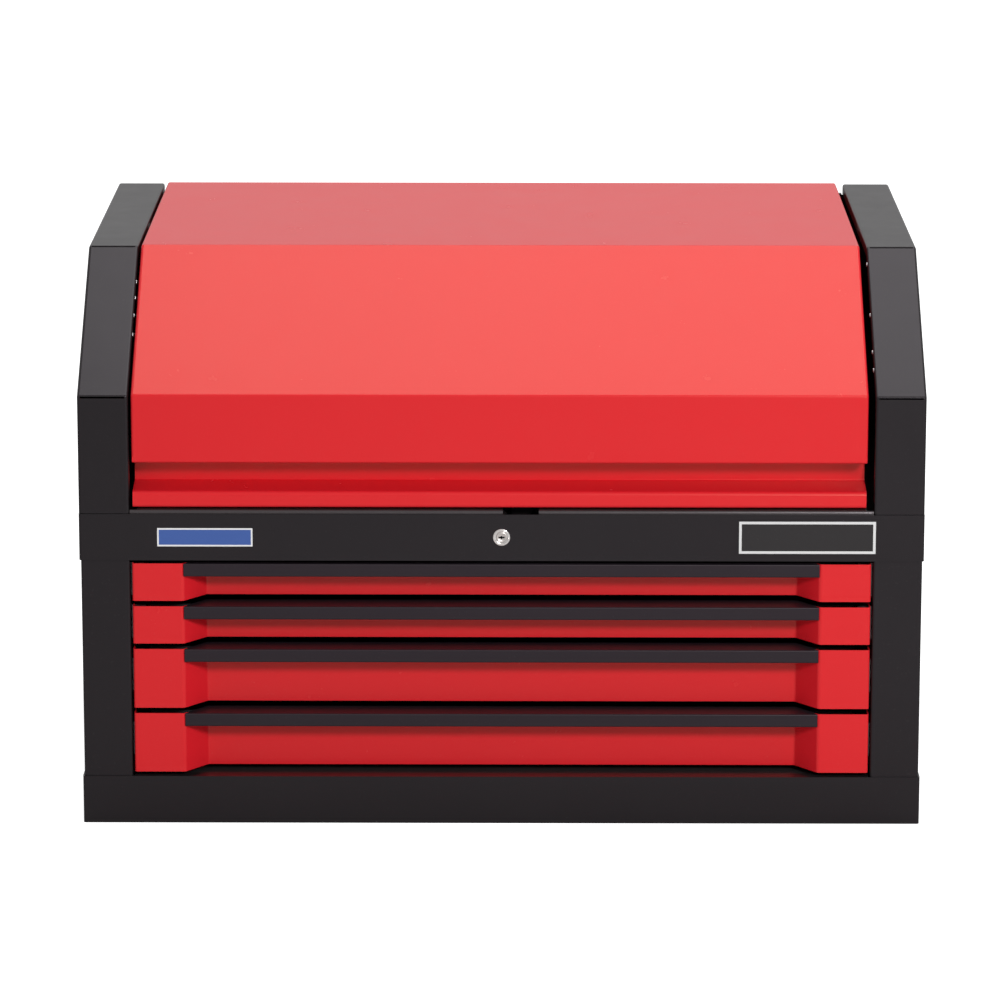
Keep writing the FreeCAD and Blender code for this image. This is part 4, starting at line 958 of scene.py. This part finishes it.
@dataclass
class LidBuffers:
    """Two rubber buttons on the rail that the lid comes down on.

    Attributes:
        rack: The finishes.
        foot: Radius at the rail.
        crown: Radius of the flat top.
        dimple: Radius of the moulding dimple in the top.
    """

    # The side from the rail up: millimetres inwards from the foot, and share of the height.
    SIDE_STEPS = ((0.0, 0.0), (0.0, 0.24), (0.12, 0.32), (0.35, 0.36), (0.35, 0.48),
                  (0.15, 0.55), (0.22, 0.72), (0.45, 0.86), (0.85, 0.96))
    # The moulding dimple: share of its radius, and share of the height.
    DIMPLE_STEPS = ((1.0, 1.0), (0.6, 0.88), (0.0, 0.85))
    SIDES = 48
    SMOOTH_ANGLE = 35.0

    rack: FinishRack
    foot: float = 3.5 * MM
    crown: float = 2.3 * MM
    dimple: float = 0.8 * MM

    def build(self) -> None:
        """Turn one button, copy it and seat both on the rail."""
        low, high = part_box("lid_bumpers")
        tall = high.z - low.z
        left, right = low.x + self.foot, high.x - self.foot
        depth = (low.y + high.y) / 2
        rings = [(self.foot - far * MM, share * tall) for far, share in self.SIDE_STEPS]
        rings.append((self.crown, tall))
        rings.extend((self.dimple * wide, share * tall) for wide, share in self.DIMPLE_STEPS)
        first = Bench.lathe(rings, Vector((left, depth, low.z)), Facing.UP, sides=self.SIDES)
        Bench.settle(first, "lid_buffer_left", self.SMOOTH_ANGLE)
        Bench.take(first)
        bpy.ops.object.duplicate(linked=False)
        second = bpy.context.object
        second.location.x = right - left
        Bench.settle(second, "lid_buffer_right", self.SMOOTH_ANGLE)
        for piece in (first, second):
            self.rack.coat(piece, "rubber")
            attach(piece, Body.CASE.value)
            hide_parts("lid_bumpers")
            report(piece)


@dataclass
class BlankPlate:
    """A plain plate or film on the header band, with a border and nothing on it.

    Attributes:
        rack: The finishes.
        name: The piece's name.
        left: Left edge in metres from the middle.
        width: Width in metres.
        bottom: Height of its lower edge.
        height: Height in metres.
        thickness: How far it stands out of the band.
        corner: Radius of its corners.
        border: Width of the border.
        sink: How far the field lies under the border.
        field_finish: Finish of the field.
        border_finish: Finish of the border.
        margin: Width of the field's finish outside the border, where it has any.
    """

    rack: FinishRack
    name: str
    left: float
    width: float
    bottom: float
    height: float
    thickness: float
    corner: float
    border: float
    sink: float
    field_finish: str
    border_finish: str
    margin: float = 0.0

    def build(self) -> None:
        """Shape the plate and put it on the band."""
        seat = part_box("header_band")[0].y
        low = Vector((self.left, seat - self.thickness, self.bottom))
        high = Vector((self.left + self.width, seat, self.bottom + self.height))
        piece = Bench.slab(low, high)
        Bench.pick_faces(piece, lambda centre, normal: normal.y < -NEARLY_ALL)
        if self.margin:
            bpy.ops.mesh.inset(thickness=self.margin, depth=0.0)
        bpy.ops.mesh.inset(thickness=self.border, depth=0.0)
        bpy.ops.mesh.inset(thickness=self.sink, depth=-self.sink)
        Bench.pick_edges(piece, lambda first, second: abs(first.y - second.y) > self.thickness * NEARLY_ALL)
        bpy.ops.mesh.bevel(offset=self.corner, segments=Bench.CORNER_STEPS, affect="EDGES")
        bpy.ops.object.mode_set(mode="OBJECT")
        self.rack.coat(piece, self.border_finish, self.field_finish)
        inner = (self.border + self.sink + self.margin) * NEARLY_ALL
        for face in piece.data.polygons:
            edge = min(face.center.x - low.x, high.x - face.center.x,
                       face.center.z - low.z, high.z - face.center.z)
            outside = self.margin > 0.0 and edge < self.margin
            face.material_index = 1 if edge > inner or outside else 0
        Bench.settle(piece, self.name)
        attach(piece, Body.CASE.value)
        report(piece)


class CadLooks:
    """Dresses the solids that come from the frame.

    Attributes:
        FINISH_OF: Names of the solids that take each finish.
        SLIDE_ENDINGS: How the names of the slides' pieces end.
    """

    FINISH_OF = {
        "red": ("lid_shell", "drawer_1_front", "drawer_2_front", "drawer_3_front", "drawer_4_front"),
        "black": ("left_side_panel", "right_side_panel", "left_hood_side", "right_hood_side",
                  "base_band", "header_band", "back_panel", "lid_hook", "lock_cam"),
        "rail": ("header_rail",),
        "inner": ("case_floor", "till_floor", "left_slide_posts", "right_slide_posts",
                  "drawer_1_box", "drawer_2_box", "drawer_3_box", "drawer_4_box"),
        "pull": ("drawer_1_pull", "drawer_2_pull", "drawer_3_pull", "drawer_4_pull"),
        "strut": ("left_strut_cylinder", "right_strut_cylinder"),
        "rod": ("left_strut_rod", "right_strut_rod"),
        "rubber": ("lid_bumpers",),
        "chrome": ("lock_housing", "lock_plug"),
    }
    SLIDE_ENDINGS = ("_runner", "_fixed_rails", "_ball_cages")

    def __init__(self, rack: FinishRack, nodes: dict[str, bpy.types.Object]) -> None:
        """Keep what is dressed.

        Args:
            rack: The finishes.
            nodes: The frame's objects by name.
        """
        self.rack = rack
        self.nodes = nodes

    def _key(self, name: str) -> str:
        """The finish of one node: named above, slide metal, or zinc plate.

        Args:
            name: The node's name.

        Returns:
            The finish's name in the rack.
        """
        for key, names in self.FINISH_OF.items():
            if name in names:
                return key
        return "slide" if name.endswith(self.SLIDE_ENDINGS) else "zinc"

    def dress(self) -> None:
        """Give every solid its finish."""
        for name, piece in sorted(self.nodes.items()):
            key = self._key(name)
            self.rack.coat(piece, key)
            log.info("%s: %s", name, key)


# Studio


@dataclass
class Studio:
    """Pale floor, white surroundings and two soft lamps.

    Attributes:
        floor_half: Half the floor's side in metres.
        floor_tone: Share of light that the floor gives back.
        floor_glow: What the camera sees added to the floor near the chest.
        glow_start: Distance from the middle at which that grows, in metres.
        glow_reach: Distance at which the floor is wholly white, in metres.
        hem: How far under the chest that glow reaches.
        floor_grain: Cells to the metre of the floor's mottle.
        floor_mottle: How much its tone changes.
        paper: How bright the surroundings look in a gloss.
        fill: How much light the surroundings give.
        key_aim: Height of the point that the key lamp looks at.
        key_turn: The key lamp's angle to the right of the front, in degrees.
        key_rise: The key lamp's angle above the floor, in degrees.
        key_reach: The key lamp's distance in metres.
        key_radius: The key lamp's radius in metres.
        key_power: The key lamp's power in watts.
        top_place: Where the overhead lamp hangs.
        top_size: The overhead lamp's width and depth in metres.
        top_power: The overhead lamp's power in watts.
    """

    floor_half: float = 60.0
    floor_tone: float = 0.66
    floor_glow: float = 0.88
    glow_start: float = 0.6
    glow_reach: float = 1.6
    hem: float = 0.012
    floor_grain: float = 40.0
    floor_mottle: float = 0.01
    paper: float = 0.60
    fill: float = 0.382
    key_aim: float = 0.25
    key_turn: float = 22.0
    key_rise: float = 25.0
    key_reach: float = 2.7
    key_radius: float = 0.26
    key_power: float = 44.5
    top_place: tuple[float, float, float] = (0.20, 0.40, 2.05)
    top_size: tuple[float, float] = (1.6, 1.17)
    top_power: float = 18.8

    def build(self) -> None:
        """Build the world, the floor and the lamps."""
        self._world()
        self._floor()
        self._key()
        self._overhead()

    def _seen(self, wires: Wiring, outer: float, gloss: float, fill: float) -> bpy.types.NodeSocket:
        """A strength that is one value for the camera, one for a gloss and one for light.

        Args:
            wires: The world's wiring.
            outer: What the camera sees.
            gloss: What a gloss or a clear piece shows.
            fill: What lights the chest.

        Returns:
            The strength's output.
        """
        path = wires.add("ShaderNodeLightPath").outputs
        shown = wires.sum("MAXIMUM", path["Is Glossy Ray"], path["Is Transmission Ray"])
        mirrored = wires.sum("MULTIPLY_ADD", shown, gloss - fill, fill)
        gap = wires.sum("SUBTRACT", outer, mirrored)
        return wires.sum("MULTIPLY_ADD", path["Is Camera Ray"], gap, mirrored)

    def _world(self) -> None:
        """White for the camera, pale in a gloss, and a weak fill light."""
        world = bpy.data.worlds.new("white_room")
        world.use_nodes = True
        wires = Wiring(world.node_tree)
        light = wires.add("ShaderNodeBackground")
        wires.give(light, {"Color": WHITE, "Strength": self._seen(wires, 1.0, self.paper, self.fill)})
        wires.give(wires.add("ShaderNodeOutputWorld"), {"Surface": light.outputs[0]})
        bpy.context.scene.world = world

    def _floor(self) -> None:
        """Pale floor that looks white and keeps the chest's shadow."""
        Bench.clear()
        bpy.ops.mesh.primitive_plane_add(size=2 * self.floor_half, location=(0.0, 0.0, 0.0))
        floor = bpy.context.object
        floor.name = "studio_floor"
        material = bpy.data.materials.new("floor_paper")
        material.use_nodes = True
        wires = Wiring(material.node_tree)
        place = wires.add("ShaderNodeTexCoord").outputs["Object"]
        length = wires.add("ShaderNodeVectorMath", operation="LENGTH")
        wires.feed(length.inputs[0], place)
        away = wires.spread(length.outputs["Value"], self.glow_start, self.glow_reach)
        axes = wires.add("ShaderNodeSeparateXYZ")
        wires.feed(axes.inputs[0], place)
        across = wires.sum("ABSOLUTE", axes.outputs["X"])
        along = wires.sum("ABSOLUTE", axes.outputs["Y"])
        beside = wires.sum("GREATER_THAN", across, CAD_BOX[1].x - self.hem)
        before = wires.sum("GREATER_THAN", along, CAD_BOX[1].y - self.hem)
        outside = wires.sum("MAXIMUM", beside, before)
        grain = wires.noise(place, self.floor_grain, detail=3.0)
        paper = wires.add("ShaderNodeBsdfDiffuse")
        dark = self.floor_tone - self.floor_mottle / 2
        tone = wires.sum("MULTIPLY_ADD", grain, self.floor_mottle, dark)
        wires.feed(paper.inputs["Color"], tone)
        glow = wires.add("ShaderNodeEmission")
        camera = wires.add("ShaderNodeLightPath").outputs["Is Camera Ray"]
        level = wires.sum("MULTIPLY_ADD", away, 1.0 - self.floor_glow, self.floor_glow)
        seen = wires.sum("MULTIPLY", camera, outside)
        wires.feed(glow.inputs["Strength"], wires.sum("MULTIPLY", seen, level))
        both = wires.add("ShaderNodeAddShader")
        wires.feed(both.inputs[0], paper.outputs[0])
        wires.feed(both.inputs[1], glow.outputs[0])
        wires.give(wires.add("ShaderNodeOutputMaterial"), {"Surface": both.outputs[0]})
        floor.data.materials.append(material)

    @staticmethod
    def _lamp(name: str, place: Vector, target: Vector, shape: str, size: tuple[float, float],
              power: float) -> None:
        """Add an area lamp that looks at a target.

        Args:
            name: The lamp's name.
            place: Where it hangs.
            target: The point that it looks at.
            shape: Its outline.
            size: Its width and depth in metres.
            power: Its power in watts.
        """
        light = bpy.data.lights.new(name, "AREA")
        light.shape = shape
        light.size, light.size_y = size
        light.energy = power
        lamp = bpy.data.objects.new(name, light)
        lamp.location = place
        lamp.rotation_euler = (target - place).to_track_quat("-Z", "Y").to_euler()
        bpy.context.scene.collection.objects.link(lamp)

    def _key(self) -> None:
        """Small round lamp in front, a little to the right and above."""
        turn, rise = math.radians(self.key_turn), math.radians(self.key_rise)
        target = Vector((0.0, CAD_BOX[0].y, self.key_aim))
        level = math.cos(rise)
        away = Vector((math.sin(turn) * level, -math.cos(turn) * level, math.sin(rise)))
        side = 2 * self.key_radius
        self._lamp("key", target + away * self.key_reach, target, "DISK", (side, side), self.key_power)

    def _overhead(self) -> None:
        """Wide soft box over the chest that the sloping lid mirrors."""
        place = Vector(self.top_place)
        below = place - Facing.UP.direction
        self._lamp("overhead", place, below, "RECTANGLE", self.top_size, self.top_power)


@dataclass
class PhotoCamera:
    """The camera, a little to the right of the middle and looking a little down.

    Attributes:
        sensor: Width of the sensor in millimetres.
        lens: Focal length in millimetres.
        pitch: Angle below the horizon, in degrees.
        reach: Distance to the point it looks at, in metres.
        aim_height: Height of that point in the plane of the chest's front.
        aside: Sideways place of that point in metres.
        front: Place of the chest's front in metres.
        turn: The camera's angle to the right of the front, in degrees.
        roll: The camera's own tilt to the left, in degrees.
        nearest: Nothing nearer is seen, in metres.
        farthest: Nothing farther is seen, in metres.
    """

    sensor: float = 36.0
    lens: float = 182.88
    pitch: float = 12.73
    reach: float = 4.035
    aim_height: float = 0.26696
    aside: float = -0.00127
    front: float = -0.22885
    turn: float = 0.20
    roll: float = 0.055
    nearest: float = 0.1
    farthest: float = 200.0

    def build(self) -> None:
        """Add the camera and use it."""
        data = bpy.data.cameras.new("photo_camera")
        data.sensor_width = self.sensor
        data.lens = self.lens
        data.clip_start = self.nearest
        data.clip_end = self.farthest
        camera = bpy.data.objects.new("photo_camera", data)
        facing = Euler((math.pi / 2 - math.radians(self.pitch), 0.0, math.radians(self.turn))).to_matrix()
        back = facing @ Facing.UP.direction
        camera.location = Vector((self.aside, self.front, self.aim_height)) + back * self.reach
        camera.rotation_euler = (facing @ Matrix.Rotation(math.radians(self.roll), 3, "Z")).to_euler()
        bpy.context.scene.collection.objects.link(camera)
        bpy.context.scene.camera = camera


def main() -> None:
    """Dress the chest, add its small pieces, and set the studio and the camera."""
    logging.basicConfig(level=logging.INFO, format="%(name)s %(message)s")
    scene = bpy.context.scene
    scene.view_settings.view_transform = "Standard"
    PhotoCamera().build()
    rack = FinishRack(Effects())
    CadLooks(rack, frame["nodes"]).dress()
    LockFace(rack).build()
    LidBuffers(rack).build()
    BlankPlate(rack, "nameplate", left=0.1883, width=0.1099, bottom=0.2230, height=0.0274,
               thickness=0.0008, corner=0.0006, border=0.0021, sink=0.00025, margin=0.0006,
               field_finish="plate", border_finish="plate_edge").build()
    BlankPlate(rack, "label", left=-0.2741, width=0.0759, bottom=0.2287, height=0.0149,
               thickness=0.0002, corner=0.0004, border=0.0013, sink=0.00005,
               field_finish="label", border_finish="label_edge").build()
    Studio().build()
    Bench.clear()


if __name__ == "__main__":
    main()
